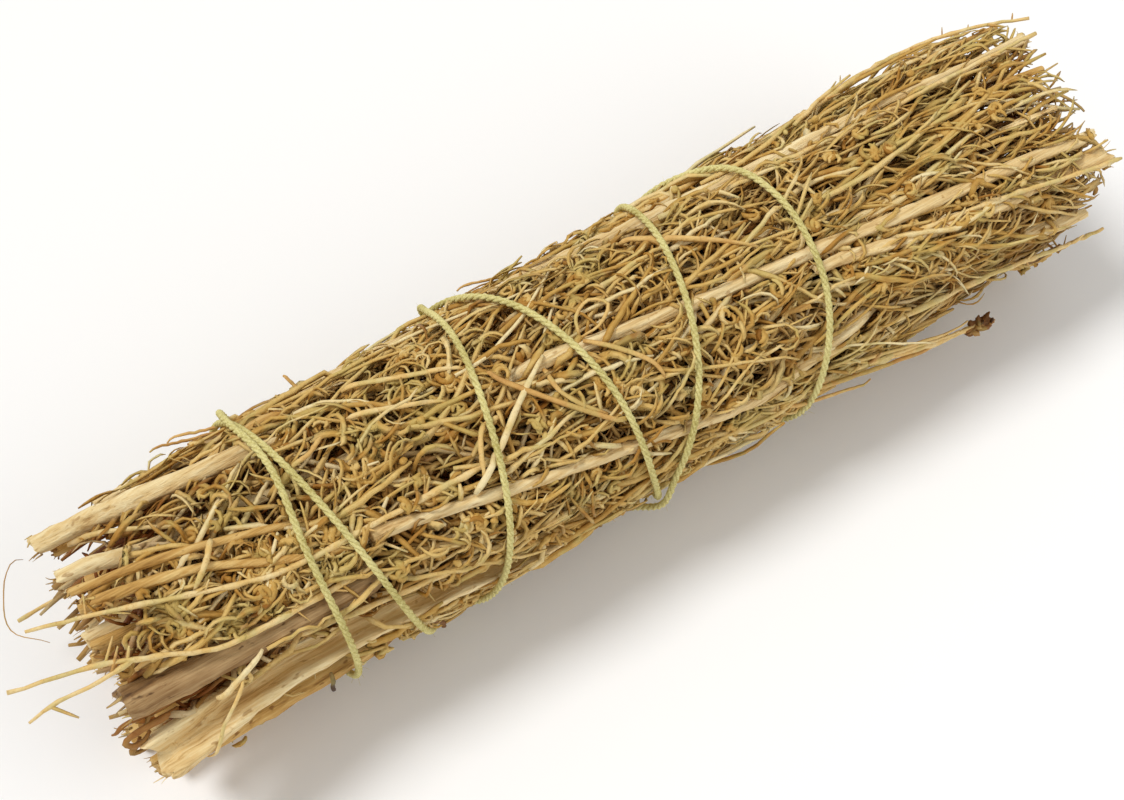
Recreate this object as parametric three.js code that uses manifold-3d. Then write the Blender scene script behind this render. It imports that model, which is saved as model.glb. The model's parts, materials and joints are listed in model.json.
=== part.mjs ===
// A bundle of dried leafy twigs, tied with one cotton string and lying on its side.
//
// The sprigs lie side by side in rings round a heart sprig, and the whole bundle is twisted a little, as it
// is when the string is wound tight. Each sprig or stalk keeps to its own round lane, so no two of them meet.
// A leafy stretch of a sprig is a solid out to the tips of its leaves, and a bare one has the stalk's size.
// Thin loose twigs lie in the valleys between the lanes of the outer ring.
//
// Millimetres. +X runs along the bundle from the butt end to the tip end, +Z is up, and the origin is on the
// surface under the middle. Angles round the bundle are in degrees from the top, growing towards -Y.

import * as THREE from "three";
import { mergeVertices } from "three/addons/utils/BufferGeometryUtils.js";
import Module from "manifold-3d";

const wasm = await Module();
wasm.setup();

// The bundle
const axisHeight = 21.0;
const ringPitch = 5.6;
const outerRadius = 3 * ringPitch;
const laneRadius = 2.6;
const twistPerMm = 0.35;
const outerLaneStep = 20;
const outerLaneStart = -47;
const middleLaneStep = 30;
const innerLaneStep = 60;

// The sprigs and stalks
const stepLength = 12;
const stalkSides = 6;
const sideUnevenness = 0.1;
const outwardLean = 0.65;
const wanderShare = 0.3;
const wanderLength = 46;
const boreShare = 0.6;
const splitShare = 0.55;

// The free ends that sag onto the surface
const sagFrom = 53;
const sagReach = 22;
const pressedFlat = 0.7;

// The loose twigs
const twigSides = 5;
const valleyRadius = 18.6;
const twigRadius = 0.55;

// The string
const stringDiameter = 1.0;
const stringSides = 6;
const stringStepsPerTurn = 22;
const stringRingRadius = 20.35;
const crossingLift = 1.4;
const crossingReach = 2.4;
const turn = 360;

const bark = { color: 0xc9a878, roughness: 0.8, metalness: 0 };
const palePeeled = { color: 0xd9c39a, roughness: 0.75, metalness: 0 };
const weathered = { color: 0x9a7f5c, roughness: 0.85, metalness: 0 };
const driedLeaf = { color: 0xae8a4e, roughness: 0.85, metalness: 0 };
const twigBark = { color: 0xbd9a66, roughness: 0.8, metalness: 0 };
const cotton = { color: 0xcfcf92, roughness: 0.9, metalness: 0 };

// The outer ring from the top towards -Y and round underneath: lane, name, look, profile and extras.
// A profile is the piece's radius at places along X: near laneRadius where it is leafy, and the stalk's own
// radius where it is bare. Splay is how far the butt stands off its lane, split how far the stalk is split
// open from its butt, and bore how deep its tip is hollow.
const outerRing = [
  [0, "top_edge_stalk", palePeeled, [[-70, 1.5], [0, 1.9], [86, 1.7]]],
  [1, "crown_sprig", driedLeaf, [[-78, 1.7], [-46, 1.5], [-36, 2.6], [70, 2.6], [84, 1.3]]],
  [2, "upper_butt_sprig", bark, [[-81, 2.3], [-34, 2.1], [-24, 2.6], [68, 2.6], [82, 1.2]]],
  [3, "long_pale_sprig", palePeeled, [[-79, 1.6], [-68, 2.6], [-16, 2.6], [-6, 1.5], [85, 1.8]]],
  [4, "slim_front_sprig", driedLeaf, [[-79, 1.1], [-54, 1.2], [-44, 2.6], [22, 2.6], [31, 1.0]]],
  [4, "torn_hollow_stalk", bark, [[34, 1.2], [50, 1.7], [87, 2.1]], { bore: 8 }],
  [5, "yellow_stem", bark, [[-77, 1.2], [-44, 0.9]]],
  [5, "centre_stalk", palePeeled, [[-41, 1.5], [34, 1.4], [44, 2.5], [70, 2.5], [83, 1.1]]],
  [6, "weathered_butt_sprig", weathered, [[-80, 2.6], [-46, 2.4], [-30, 2.6], [66, 2.6], [80, 1.3]]],
  [7, "lower_leafy_sprig", driedLeaf, [[-77, 1.4], [-66, 2.5], [68, 2.6], [81, 1.2]]],
  [8, "split_grooved_stalk", palePeeled, [[-82, 3.5], [-60, 2.7], [22, 1.9]], { splay: 2.6, split: 21 }],
  [8, "low_tip_sprig", driedLeaf, [[26, 1.3], [35, 2.6], [70, 2.6], [82, 1.0]]],
  [9, "underside_sprig_1", driedLeaf, [[-80, 1.9], [-48, 1.6], [-38, 2.6], [78, 2.6], [84, 2.0]]],
  [10, "underside_stalk", bark, [[-78, 2.2], [10, 2.5], [84, 2.6]]],
  [11, "underside_sprig_2", driedLeaf, [[-79, 2.1], [-52, 1.8], [-42, 2.6], [78, 2.6], [83, 2.1]]],
  [12, "rest_stalk", bark, [[-81, 2.6], [-20, 2.4], [62, 2.0], [80, 1.6]]],
  [13, "rest_sprig_1", driedLeaf, [[-78, 2.2], [-70, 2.6], [64, 2.6], [82, 1.2]]],
  [14, "rest_sprig_2", driedLeaf, [[-80, 2.3], [-72, 2.6], [60, 2.6], [79, 1.3]]],
  [15, "back_pale_stalk", palePeeled, [[-79, 1.8], [20, 1.9], [85, 1.5]]],
  [16, "back_sprig_1", driedLeaf, [[-80, 1.8], [-40, 1.7], [-30, 2.6], [70, 2.6], [84, 1.2]]],
  [17, "back_sprig_2", driedLeaf, [[-76, 1.6], [-58, 1.5], [-50, 2.6], [66, 2.6], [86, 1.1]]],
];

// Loose twigs, each in a valley of the outer ring or lifting out of it where its path rises.
// A path is [X, angle off the valley, height over the valley]; a fork starts on the path it leaves.
const looseTwigs = [
  {
    name: "forked_twig",
    valley: 5,
    path: [[-88.3, -6, 0.2], [-82, -3, 0.9], [-72, 0, 0.9], [-60, 0, 0], [-48, 0, 0]],
    fork: [[-78, -2, 0.9], [-83, 4, 1.4], [-87, 9, 1.0]],
  },
  {
    name: "long_front_twig",
    valley: 4,
    path: [[-86, -9, 0.7], [-70, -4, 0.9], [-56, 0, 0.4], [-40, 0, 0], [-20, 0, 0]],
  },
  { name: "butt_end_twig", valley: 6, path: [[-86, 3, 1.0], [-66, 0, 0.3], [-40, 0, 0], [-8, 0, 0]] },
  {
    name: "bud_twig",
    valley: 6,
    path: [[10, 0, 0], [30, 0, 0], [42, 3, 1.2], [54, 8, 3.0], [63, 12, 4.0]],
    bud: { radius: 1.5, length: 4.6 },
  },
  { name: "crown_twig", valley: 0, path: [[20, 0, 0], [50, 0, 0], [68, -3, 0.7], [87, -6, 1.5]] },
  {
    name: "top_spray_twig",
    valley: 17,
    path: [[18, 0, 0], [40, 0, 0.2], [56, -4, 1.6], [72, -8, 2.6], [84, -4, 2.0]],
    fork: [[48, -2, 0.9], [56, -12, 2.2], [62, -17, 2.9]],
  },
  { name: "front_tip_twig", valley: 3, path: [[40, 0, 0], [64, 0, 0.1], [78, 2, 1.2], [88.3, 3, 1.6]] },
  { name: "low_tip_twig", valley: 5, path: [[30, 0, 0], [60, 0, 0], [76, 3, 0.9], [87, 6, 1.3]] },
  { name: "back_tip_twig", valley: 14, path: [[24, 0, 0], [60, 0, 0], [76, -3, 1.0], [87, -5, 1.4]] },
  { name: "back_butt_twig", valley: 15, path: [[-87, 4, 1.0], [-70, 1, 0.5], [-50, 0, 0], [-24, 0, 0]] },
];

// Where the string lies: [total angle wound, X]. It starts at the knot at the back, winds to the tip end in
// three turns, turns round there, and winds back over itself to the knot.
const stringStations = [
  [-110, -52], [-35, -48.5], [35, -44], [100, -39], [200, -26], [300, -13], [340, -7], [385, -2.5], [450, 0],
  [560, 12], [620, 20], [660, 27], [685, 33], [715, 35], [750, 34.5], [810, 29], [900, 24], [980, 21],
  [1030, 18.5], [1075, 16], [1115, 12], [1155, 6], [1180, 2], [1280, -7], [1380, -15.5], [1425, -17],
  [1470, -20.5], [1530, -26], [1650, -38.5], [1760, -49.5], [1795, -48.5], [1830, -50], [1890, -50],
  [2050, -52],
];
const turnBackAngle = 730;
const knotRadius = 1.35;
const tailLength = 13;
const tailSpread = 3.2;

const lerp = THREE.MathUtils.lerp;
const smoothstep = THREE.MathUtils.smoothstep;
const radians = THREE.MathUtils.degToRad;

// A repeatable number from 0 to 1 for a piece.
function vary(seed, salt) {
  const wave = Math.sin(seed * 12.9898 + salt * 78.233) * 43758.5453;
  return wave - Math.floor(wave);
}

// The value at x of a list of [x, value] stops, in straight lines between them.
function along(stops, x, column = 1) {
  const last = stops.length - 1;
  const rising = stops[last][0] > stops[0][0];
  const behind = (stop) => (rising ? stop[0] <= x : stop[0] >= x);
  let i = 0;
  while (i < last - 1 && behind(stops[i + 1])) i += 1;
  const share = (x - stops[i][0]) / (stops[i + 1][0] - stops[i][0]);
  return lerp(stops[i][column], stops[i + 1][column], THREE.MathUtils.clamp(share, 0, 1));
}

// A point at an angle round the bundle and a distance from its axis.
function roundAxis(x, angle, radius) {
  return new THREE.Vector3(x, -radius * Math.sin(radians(angle)), radius * Math.cos(radians(angle)));
}

// How far a free end under the bundle drops so that it rests on the surface.
function sag(x, angle, radius) {
  const free = smoothstep(Math.abs(x), sagFrom, sagFrom + sagReach);
  const down = -Math.cos(radians(angle));
  const underneath = smoothstep(down, Math.cos(radians(40)), Math.cos(radians(28)));
  const drop = (axisHeight + pressedFlat - radius) / Math.max(down, 0.5) - outerRadius;
  return Math.max(drop, 0) * free * underneath;
}

// The middle of a piece at x. It wanders in its lane by a share of the room that its radius leaves there.
function laneCentre({ profile, splay = 0 }, laneAngle, ringRadius, seed, x) {
  const radius = along(profile, x);
  const room = Math.max(laneRadius - radius, 0);
  const phase = (2 * Math.PI * x) / wanderLength + 2 * Math.PI * vary(seed, 1);
  const angle = laneAngle + twistPerMm * x;
  const buttEnd = profile[0][0];
  const stand = splay * (1 - smoothstep(x, buttEnd + 4, buttEnd + 26));
  const lean = ringRadius === outerRadius ? room * outwardLean + sag(x, angle, radius) + stand : 0;
  const centre = roundAxis(x, angle, ringRadius + lean + wanderShare * room * Math.sin(phase));
  centre.y += wanderShare * room * Math.cos(phase);
  return centre;
}

// A piece that runs in a lane: a tube of the profile's radius, which stays inside the lane.
function lanePiece(piece, laneAngle, ringRadius, seed) {
  const { name, profile, look } = piece;
  const from = profile[0][0];
  const to = profile[profile.length - 1][0];
  const steps = Math.round((to - from) / stepLength);
  const tubeShape = new THREE.CylinderGeometry(1, 1, 1, stalkSides, steps).rotateZ(-Math.PI / 2);
  const place = tubeShape.getAttribute("position");
  const section = new THREE.Vector3();
  for (let i = 0; i < place.count; i += 1) {
    section.fromBufferAttribute(place, i);
    const x = lerp(from, to, section.x + 0.5);
    const side = Math.round((Math.atan2(section.z, section.y) / (2 * Math.PI) + 1) * stalkSides) % stalkSides;
    const uneven = 1 - sideUnevenness * vary(seed * stalkSides + side, 2 + Math.round(x / stepLength));
    section.multiplyScalar(along(profile, x) * uneven).setX(0);
    section.add(laneCentre(piece, laneAngle, ringRadius, seed, x));
    place.setXYZ(i, section.x, section.y, section.z);
  }
  let geometry = restOnSurface(tubeShape);
  const centreAt = (x) => laneCentre(piece, laneAngle, ringRadius, seed, x);
  if (piece.bore) geometry = boredTip(geometry, centreAt, profile, piece.bore);
  if (piece.split) geometry = splitButt(geometry, centreAt, profile, piece.split);
  const mesh = new THREE.Mesh(geometry, new THREE.MeshStandardMaterial(look));
  mesh.name = name;
  return mesh;
}

// A stalk that is hollow at its tip, where its pith has gone.
function boredTip(geometry, centreAt, profile, depth) {
  const [tipX, tipRadius] = profile[profile.length - 1];
  const mouth = tipRadius * boreShare;
  const hole = new THREE.CylinderGeometry(mouth, mouth * 0.5, depth + 2, stalkSides).rotateZ(-Math.PI / 2);
  const middle = centreAt(tipX - depth / 2);
  hole.translate(tipX + 1 - depth / 2, middle.y, middle.z);
  return geometryOf(solidOf(geometry).subtract(solidOf(hole)));
}

// A stalk that is split lengthwise at its butt: a V groove along its outward side, which runs out shallow.
function splitButt(geometry, centreAt, profile, reach) {
  const [buttX, buttRadius] = profile[0];
  const butt = centreAt(buttX);
  const groove = new THREE.CylinderGeometry(0.01, buttRadius * splitShare, 1, 4).rotateZ(Math.PI / 2);
  groove.scale(reach + 2, 1, 1).translate(buttX + reach / 2 - 1, 0, 0);
  const outward = new THREE.Vector3(0, butt.y, butt.z).setLength(buttRadius);
  const place = groove.getAttribute("position");
  for (let i = 0; i < place.count; i += 1) {
    const centre = centreAt(Math.max(place.getX(i), buttX));
    place.setY(i, place.getY(i) + centre.y + outward.y);
    place.setZ(i, place.getZ(i) + centre.z + outward.z);
  }
  return geometryOf(solidOf(geometry).subtract(solidOf(groove)));
}

// A geometry's closed surface as a solid for cutting and joining.
function solidOf(geometry) {
  const plain = geometry.clone();
  plain.deleteAttribute("normal");
  plain.deleteAttribute("uv");
  const merged = mergeVertices(plain, 1e-4);
  return new wasm.Manifold(
    new wasm.Mesh({
      numProp: 3,
      vertProperties: merged.getAttribute("position").array,
      triVerts: new Uint32Array(merged.index.array),
    }),
  );
}

function geometryOf(solid) {
  const { vertProperties, triVerts } = solid.getMesh();
  return new THREE.BufferGeometry()
    .setAttribute("position", new THREE.BufferAttribute(new Float32Array(vertProperties), 3))
    .setIndex(new THREE.BufferAttribute(new Uint32Array(triVerts), 1));
}

// The geometry with whatever would reach under the surface pressed flat.
function restOnSurface(geometry) {
  geometry.computeBoundingBox();
  if (geometry.boundingBox.min.z >= -axisHeight) return geometry;
  const depth = 10;
  const underground = new THREE.BoxGeometry(500, 100, depth).translate(0, 0, -axisHeight - depth / 2);
  return geometryOf(solidOf(geometry).subtract(solidOf(underground)));
}

// A regular polygon, as the section of a thin tube.
function polygon(radius, sides) {
  const corners = [];
  for (let i = 0; i < sides; i += 1) {
    const angle = (2 * Math.PI * i) / sides;
    corners.push(new THREE.Vector2(radius * Math.cos(angle), radius * Math.sin(angle)));
  }
  return new THREE.Shape(corners);
}

function tube(points, radius, sides, steps) {
  const extrudePath = new THREE.CatmullRomCurve3(points, false, "centripetal");
  return new THREE.ExtrudeGeometry(polygon(radius, sides), { steps, extrudePath, bevelEnabled: false });
}

// A loose twig with its fork and its bud, as one piece.
function looseTwig({ name, valley, path, fork, bud }) {
  const laneAngle = outerLaneStart + outerLaneStep * (valley + 0.5);
  const pointAt = ([x, aside, rise]) => roundAxis(x, laneAngle + aside + twistPerMm * x, valleyRadius + rise);
  const points = path.map(pointAt);
  let solid = solidOf(tube(points, twigRadius, twigSides, 3 * (points.length - 1)));
  if (fork) {
    const branch = fork.map(pointAt);
    solid = solid.add(solidOf(tube(branch, twigRadius * 0.8, twigSides, 2 * branch.length)));
  }
  if (bud) {
    const tip = points[points.length - 1];
    const heading = tip.clone().sub(points[points.length - 2]).normalize();
    const outline = [
      new THREE.Vector2(0, -bud.length * 0.3),
      new THREE.Vector2(bud.radius * 0.8, -bud.length * 0.15),
      new THREE.Vector2(bud.radius, bud.length * 0.15),
      new THREE.Vector2(bud.radius * 0.6, bud.length * 0.45),
      new THREE.Vector2(0, bud.length * 0.7),
    ];
    const turned = new THREE.Quaternion().setFromUnitVectors(new THREE.Vector3(0, 1, 0), heading);
    const flower = new THREE.LatheGeometry(outline, 7).applyQuaternion(turned).translate(tip.x, tip.y, tip.z);
    solid = solid.add(solidOf(flower));
  }
  const mesh = new THREE.Mesh(geometryOf(solid), new THREE.MeshStandardMaterial(twigBark));
  mesh.name = name;
  return mesh;
}

// X of the string at a total angle wound, on a smooth curve through its stations.
const windingCurve = new THREE.SplineCurve(stringStations.map(([angle, x]) => new THREE.Vector2(angle, x)));

function stringX(angle) {
  let low = 0;
  let high = 1;
  for (let i = 0; i < 30; i += 1) {
    const middle = (low + high) / 2;
    if (windingCurve.getPoint(middle).x < angle) low = middle;
    else high = middle;
  }
  return windingCurve.getPoint(low).y;
}

// How far the string on its way back is lifted where it crosses the string on its way out.
function liftAt(angle) {
  if (angle < turnBackAngle) return 0;
  let lift = 0;
  for (let below = angle - turn; below > stringStations[0][0]; below -= turn) {
    if (below > turnBackAngle) continue;
    const apart = (stringX(angle) - stringX(below)) / crossingReach;
    lift = Math.max(lift, crossingLift * Math.exp(-apart * apart));
  }
  return lift;
}

function bindingString() {
  const first = stringStations[0][0];
  const last = stringStations[stringStations.length - 1][0];
  const steps = Math.round(((last - first) / turn) * stringStepsPerTurn);
  const route = [];
  for (let i = 0; i <= steps; i += 1) {
    const angle = lerp(first, last, i / steps);
    route.push(roundAxis(stringX(angle), angle, stringRingRadius + liftAt(angle)));
  }
  const radius = stringDiameter / 2;
  const knotX = stringStations[0][1];
  const knotAngle = first;
  const knot = new THREE.IcosahedronGeometry(knotRadius, 1);
  const at = roundAxis(knotX, knotAngle, stringRingRadius + 0.5);
  let solid = solidOf(tube(route, radius, stringSides, steps));
  solid = solid.add(solidOf(knot.translate(at.x, at.y, at.z)));
  for (const side of [-1, 1]) {
    const tail = [0, 0.35, 0.7, 1].map((share) =>
      roundAxis(
        knotX - share * tailLength,
        knotAngle + side * tailSpread * 4 * share * share,
        stringRingRadius + 0.5 - 0.5 * share,
      ),
    );
    solid = solid.add(solidOf(tube(tail, radius, stringSides, 6)));
  }
  const mesh = new THREE.Mesh(geometryOf(solid), new THREE.MeshStandardMaterial(cotton));
  mesh.name = "binding_string";
  return mesh;
}

// The rings inside the outer one: sprigs of about the same length, bare at the butt and leafy further on.
function innerRing(kind, ring, laneStep, firstSeed) {
  const group = new THREE.Group();
  const count = Math.round(turn / laneStep);
  for (let i = 0; i < count; i += 1) {
    const seed = firstSeed + i;
    const butt = -80 + 5 * vary(seed, 3);
    const bareRadius = 1.5 + vary(seed, 4);
    const leavesFrom = -60 + 36 * vary(seed, 5);
    const tip = 78 + 7 * vary(seed, 6);
    const profile = [
      [butt, bareRadius],
      [leavesFrom - 10, bareRadius * 0.9],
      [leavesFrom, laneRadius],
      [tip - 14, laneRadius],
      [tip, 1.2],
    ];
    const name = count > 1 ? `${kind}_sprig_${i + 1}` : `${kind}_sprig`;
    const look = bareRadius > 2 ? bark : driedLeaf;
    group.add(lanePiece({ name, profile, look }, laneStep * (i + 0.5), ring * ringPitch, seed));
  }
  return group;
}

const bundle = new THREE.Group();
bundle.position.z = axisHeight;
bundle.add(innerRing("heart", 0, turn, 100));
bundle.add(innerRing("inner", 1, innerLaneStep, 200));
bundle.add(innerRing("middle", 2, middleLaneStep, 300));
for (const [lane, name, look, profile, extras] of outerRing) {
  const piece = { name, look, profile, ...extras };
  bundle.add(lanePiece(piece, outerLaneStart + outerLaneStep * lane, outerRadius, lane + 1));
}
for (const twig of looseTwigs) bundle.add(looseTwig(twig));
bundle.add(bindingString());

// The origin is under the middle of the bundle's bounds.
const middle = new THREE.Box3().setFromObject(bundle, true).getCenter(new THREE.Vector3());
bundle.position.x = -middle.x;
bundle.position.y = -middle.y;

const part = new THREE.Group();
part.add(bundle);

export default part;
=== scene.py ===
"""A bundle of dried leafy twigs, wound round with cotton string and lying on its side.

Every sprig, stalk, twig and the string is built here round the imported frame, piece for piece. Shapes are
worked out in millimetres round the bundle's axis: a place is X along the bundle, an angle in degrees from
the top that grows towards -Y, and a distance from the axis. Meshes are made in metres.
"""

from __future__ import annotations

import json
import logging
import math
from dataclasses import dataclass
from enum import Enum

import bpy
import numpy as np
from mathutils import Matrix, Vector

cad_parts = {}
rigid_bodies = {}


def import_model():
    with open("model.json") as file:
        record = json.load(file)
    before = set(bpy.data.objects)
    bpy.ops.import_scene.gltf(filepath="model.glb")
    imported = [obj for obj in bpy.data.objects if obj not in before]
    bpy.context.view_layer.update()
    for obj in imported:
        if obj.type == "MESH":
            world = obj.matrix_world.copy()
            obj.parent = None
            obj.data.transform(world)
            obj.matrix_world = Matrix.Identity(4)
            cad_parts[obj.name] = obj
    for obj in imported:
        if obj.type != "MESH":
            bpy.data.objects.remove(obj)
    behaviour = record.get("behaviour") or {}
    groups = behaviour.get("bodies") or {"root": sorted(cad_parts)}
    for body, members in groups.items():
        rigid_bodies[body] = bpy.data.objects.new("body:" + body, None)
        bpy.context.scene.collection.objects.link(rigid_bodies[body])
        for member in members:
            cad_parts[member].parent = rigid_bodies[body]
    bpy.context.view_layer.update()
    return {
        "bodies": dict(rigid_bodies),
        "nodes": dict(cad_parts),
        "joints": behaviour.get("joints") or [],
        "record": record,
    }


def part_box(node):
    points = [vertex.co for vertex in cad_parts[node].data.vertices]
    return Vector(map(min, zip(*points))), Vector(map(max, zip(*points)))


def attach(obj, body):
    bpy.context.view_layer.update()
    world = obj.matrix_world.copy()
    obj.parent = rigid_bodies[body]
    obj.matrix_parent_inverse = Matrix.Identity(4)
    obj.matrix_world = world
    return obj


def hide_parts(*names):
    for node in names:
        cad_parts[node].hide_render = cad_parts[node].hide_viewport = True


log = logging.getLogger("bundle")

Array = np.ndarray
Triple = tuple[float, float, float]
Run = tuple[Array, Array, Array]

MM = 0.001

# The bundle, in millimetres and degrees.
TWIST_PER_MM = 0.35
AXIS_HEIGHT = 21.0
OUTER_LANE_START = -47.0
OUTER_LANE_STEP = 20.0
STRING_RADIUS = 20.35
REACH = 19.7
OUTER_BUTT_LIMIT = -79.0
FLOOR_GAP = 0.03


def smooth(x: Array, low: float, high: float) -> Array:
    """A soft step from 0 at low to 1 at high."""
    t = np.clip((np.asarray(x, float) - low) / (high - low), 0.0, 1.0)
    return t * t * (3.0 - 2.0 * t)


def through(stops: Array, values: Array, x: Array) -> Array:
    """A smooth curve through stops.

    Args:
        stops: rising places.
        values: the curve's values there.
        x: where it is read; past the ends it keeps the end values.

    Returns:
        The values at x.
    """
    stops, values = np.asarray(stops, float), np.asarray(values, float)
    x = np.clip(x, stops[0], stops[-1])
    slopes = np.gradient(values, stops)
    i = np.clip(np.searchsorted(stops, x, side="right") - 1, 0, len(stops) - 2)
    span = stops[i + 1] - stops[i]
    t = (x - stops[i]) / span
    rise = t * t * (3 - 2 * t)
    out = slopes[i] * t * (1 - t) ** 2 - slopes[i + 1] * t * t * (1 - t)
    return values[i] * (1 - rise) + values[i + 1] * rise + out * span


def unit(v: Array) -> Array:
    """Vectors along the last axis at length 1."""
    return v / np.maximum(np.linalg.norm(v, axis=-1, keepdims=True), 1e-12)


@dataclass(frozen=True)
class Axis:
    """The line along X that the sprigs lie round.

    Attributes:
        y: where it lies across the bundle, in millimetres.
        z: how high it lies.
    """

    y: float
    z: float = AXIS_HEIGHT

    def place(self, x: Array, angle: Array, reach: Array) -> Array:
        """Points in millimetres from X, angle and distance from the axis.

        Args:
            x: places along the bundle.
            angle: angles round it.
            reach: distances from the axis.

        Returns:
            The points, with X, Y and Z along the last axis.
        """
        turn = np.radians(angle)
        flat = np.broadcast_arrays(x, self.y - reach * np.sin(turn), self.z + reach * np.cos(turn))
        return np.stack(flat, axis=-1)

    def polar(self, points: Array) -> tuple[Array, Array]:
        """The angle and the distance from the axis of points in millimetres."""
        across, up = self.y - points[..., 1], points[..., 2] - self.z
        return np.degrees(np.arctan2(across, up)), np.hypot(across, up)

    @classmethod
    def of_frame(cls) -> Axis:
        """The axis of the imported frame, in the middle of its middle ring."""
        boxes = [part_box(f"middle_sprig_{i}") for i in range(1, 13)]
        return cls(y=float(np.mean([(low[1] + high[1]) / 2 for low, high in boxes])) / MM)


# Shaders


def node_of(tree: bpy.types.NodeTree, kind: str) -> bpy.types.Node:
    """The first node of a kind in a tree."""
    return next(n for n in tree.nodes if n.type == kind)


class Value:
    """A shader socket that takes part in Python arithmetic, each step of which adds a Math node."""

    def __init__(self, shader: Shader, socket: bpy.types.NodeSocket) -> None:
        """Wraps an output socket of a shader's tree."""
        self.shader = shader
        self.socket = socket

    def _math(self, operation: str, first: object, second: object) -> Value:
        """What a Math node makes of two values."""
        return self.shader.node("ShaderNodeMath", {"operation": operation}, {0: first, 1: second})

    def __add__(self, other: object) -> Value:
        """Their sum."""
        return self._math("ADD", self, other)

    def __sub__(self, other: object) -> Value:
        """This less the other."""
        return self._math("SUBTRACT", self, other)

    def __mul__(self, other: object) -> Value:
        """Their product."""
        return self._math("MULTIPLY", self, other)

    def __rsub__(self, other: object) -> Value:
        """The other less this."""
        return self._math("SUBTRACT", other, self)

    __radd__ = __add__
    __rmul__ = __mul__


class Shader:
    """A material's node tree under one Principled surface."""

    def __init__(self, name: str, roughness: float) -> None:
        """A new material.

        Args:
            name: its name.
            roughness: the surface's roughness.
        """
        self.material = bpy.data.materials.new(name)
        self.material.use_nodes = True
        self.tree = self.material.node_tree
        self.surface = node_of(self.tree, "BSDF_PRINCIPLED")
        self.surface.inputs["Roughness"].default_value = roughness
        self.surface.inputs["Specular IOR Level"].default_value = 0.3

    def node(self, kind: str, settings: dict, inputs: dict, output: object = 0) -> Value:
        """Any node.

        Args:
            kind: its type.
            settings: its own settings, where "stops" are a ramp's (position, colour) pairs.
            inputs: values or links by socket name or number.
            output: the socket that is returned.

        Returns:
            The output, ready for arithmetic.
        """
        made = self.tree.nodes.new(kind)
        for key, value in settings.items():
            if key == "stops":
                self._stops(made.color_ramp, value)
            else:
                setattr(made, key, value)
        for key, value in inputs.items():
            if isinstance(value, Value):
                self.tree.links.new(value.socket, made.inputs[key])
            else:
                made.inputs[key].default_value = value
        return Value(self, made.outputs[output])

    @staticmethod
    def _stops(ramp: bpy.types.ColorRamp, stops: list) -> None:
        """Sets a ramp's stops.

        Args:
            ramp: the ramp.
            stops: (position, colour) pairs.
        """
        while len(ramp.elements) < len(stops):
            ramp.elements.new(0.5)
        for element, (position, colour) in zip(ramp.elements, stops):
            element.position = position
            element.color = (*colour, 1.0)

    def drive(self, socket: str, value: Value) -> None:
        """Links a value to a socket of the surface."""
        self.tree.links.new(value.socket, self.surface.inputs[socket])

    def place(self, scale: Triple = (1, 1, 1)) -> Value:
        """Object coordinates, scaled."""
        where = self.node("ShaderNodeTexCoord", {}, {}, "Object")
        return self.node("ShaderNodeMapping", {}, {"Vector": where, "Scale": scale})

    def noise(self, where: Value, scale: float, detail: float = 3.0, roughness: float = 0.6) -> Value:
        """Soft noise round 0.5."""
        inputs = {"Vector": where, "Scale": scale, "Detail": detail, "Roughness": roughness}
        return self.node("ShaderNodeTexNoise", {}, inputs, "Fac")

    def ramp(self, value: Value, stops: list) -> Value:
        """A colour by a value."""
        return self.node("ShaderNodeValToRGB", {"stops": stops}, {"Fac": value}, "Color")

    def mask(self, value: Value, low: float, high: float) -> Value:
        """0 under low, 1 over high."""
        inputs = {"Value": value, "From Min": low, "From Max": high}
        return self.node("ShaderNodeMapRange", {"interpolation_type": "SMOOTHSTEP"}, inputs, "Result")

    def mix(self, share: object, first: object, second: object, blend: str = "MIX") -> Value:
        """A mix of two colours."""
        settings = {"data_type": "RGBA", "blend_type": blend}
        return self.node("ShaderNodeMix", settings, {0: share, 6: first, 7: second}, 2)

    def bump(self, height: Value, distance: float) -> None:
        """Fine relief, from a height and how deep it is in metres."""
        inputs = {"Height": height, "Distance": distance}
        self.drive("Normal", self.node("ShaderNodeBump", {}, inputs, "Normal"))


def rgb(red: float, green: float, blue: float) -> Triple:
    """A colour of 0 to 255 as the eye reads it, as light."""
    return tuple((c / 255) ** 2.2 for c in (red, green, blue))


def rgba(colour: Triple) -> tuple[float, float, float, float]:
    """A colour for a socket."""
    return (*colour, 1.0)


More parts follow.
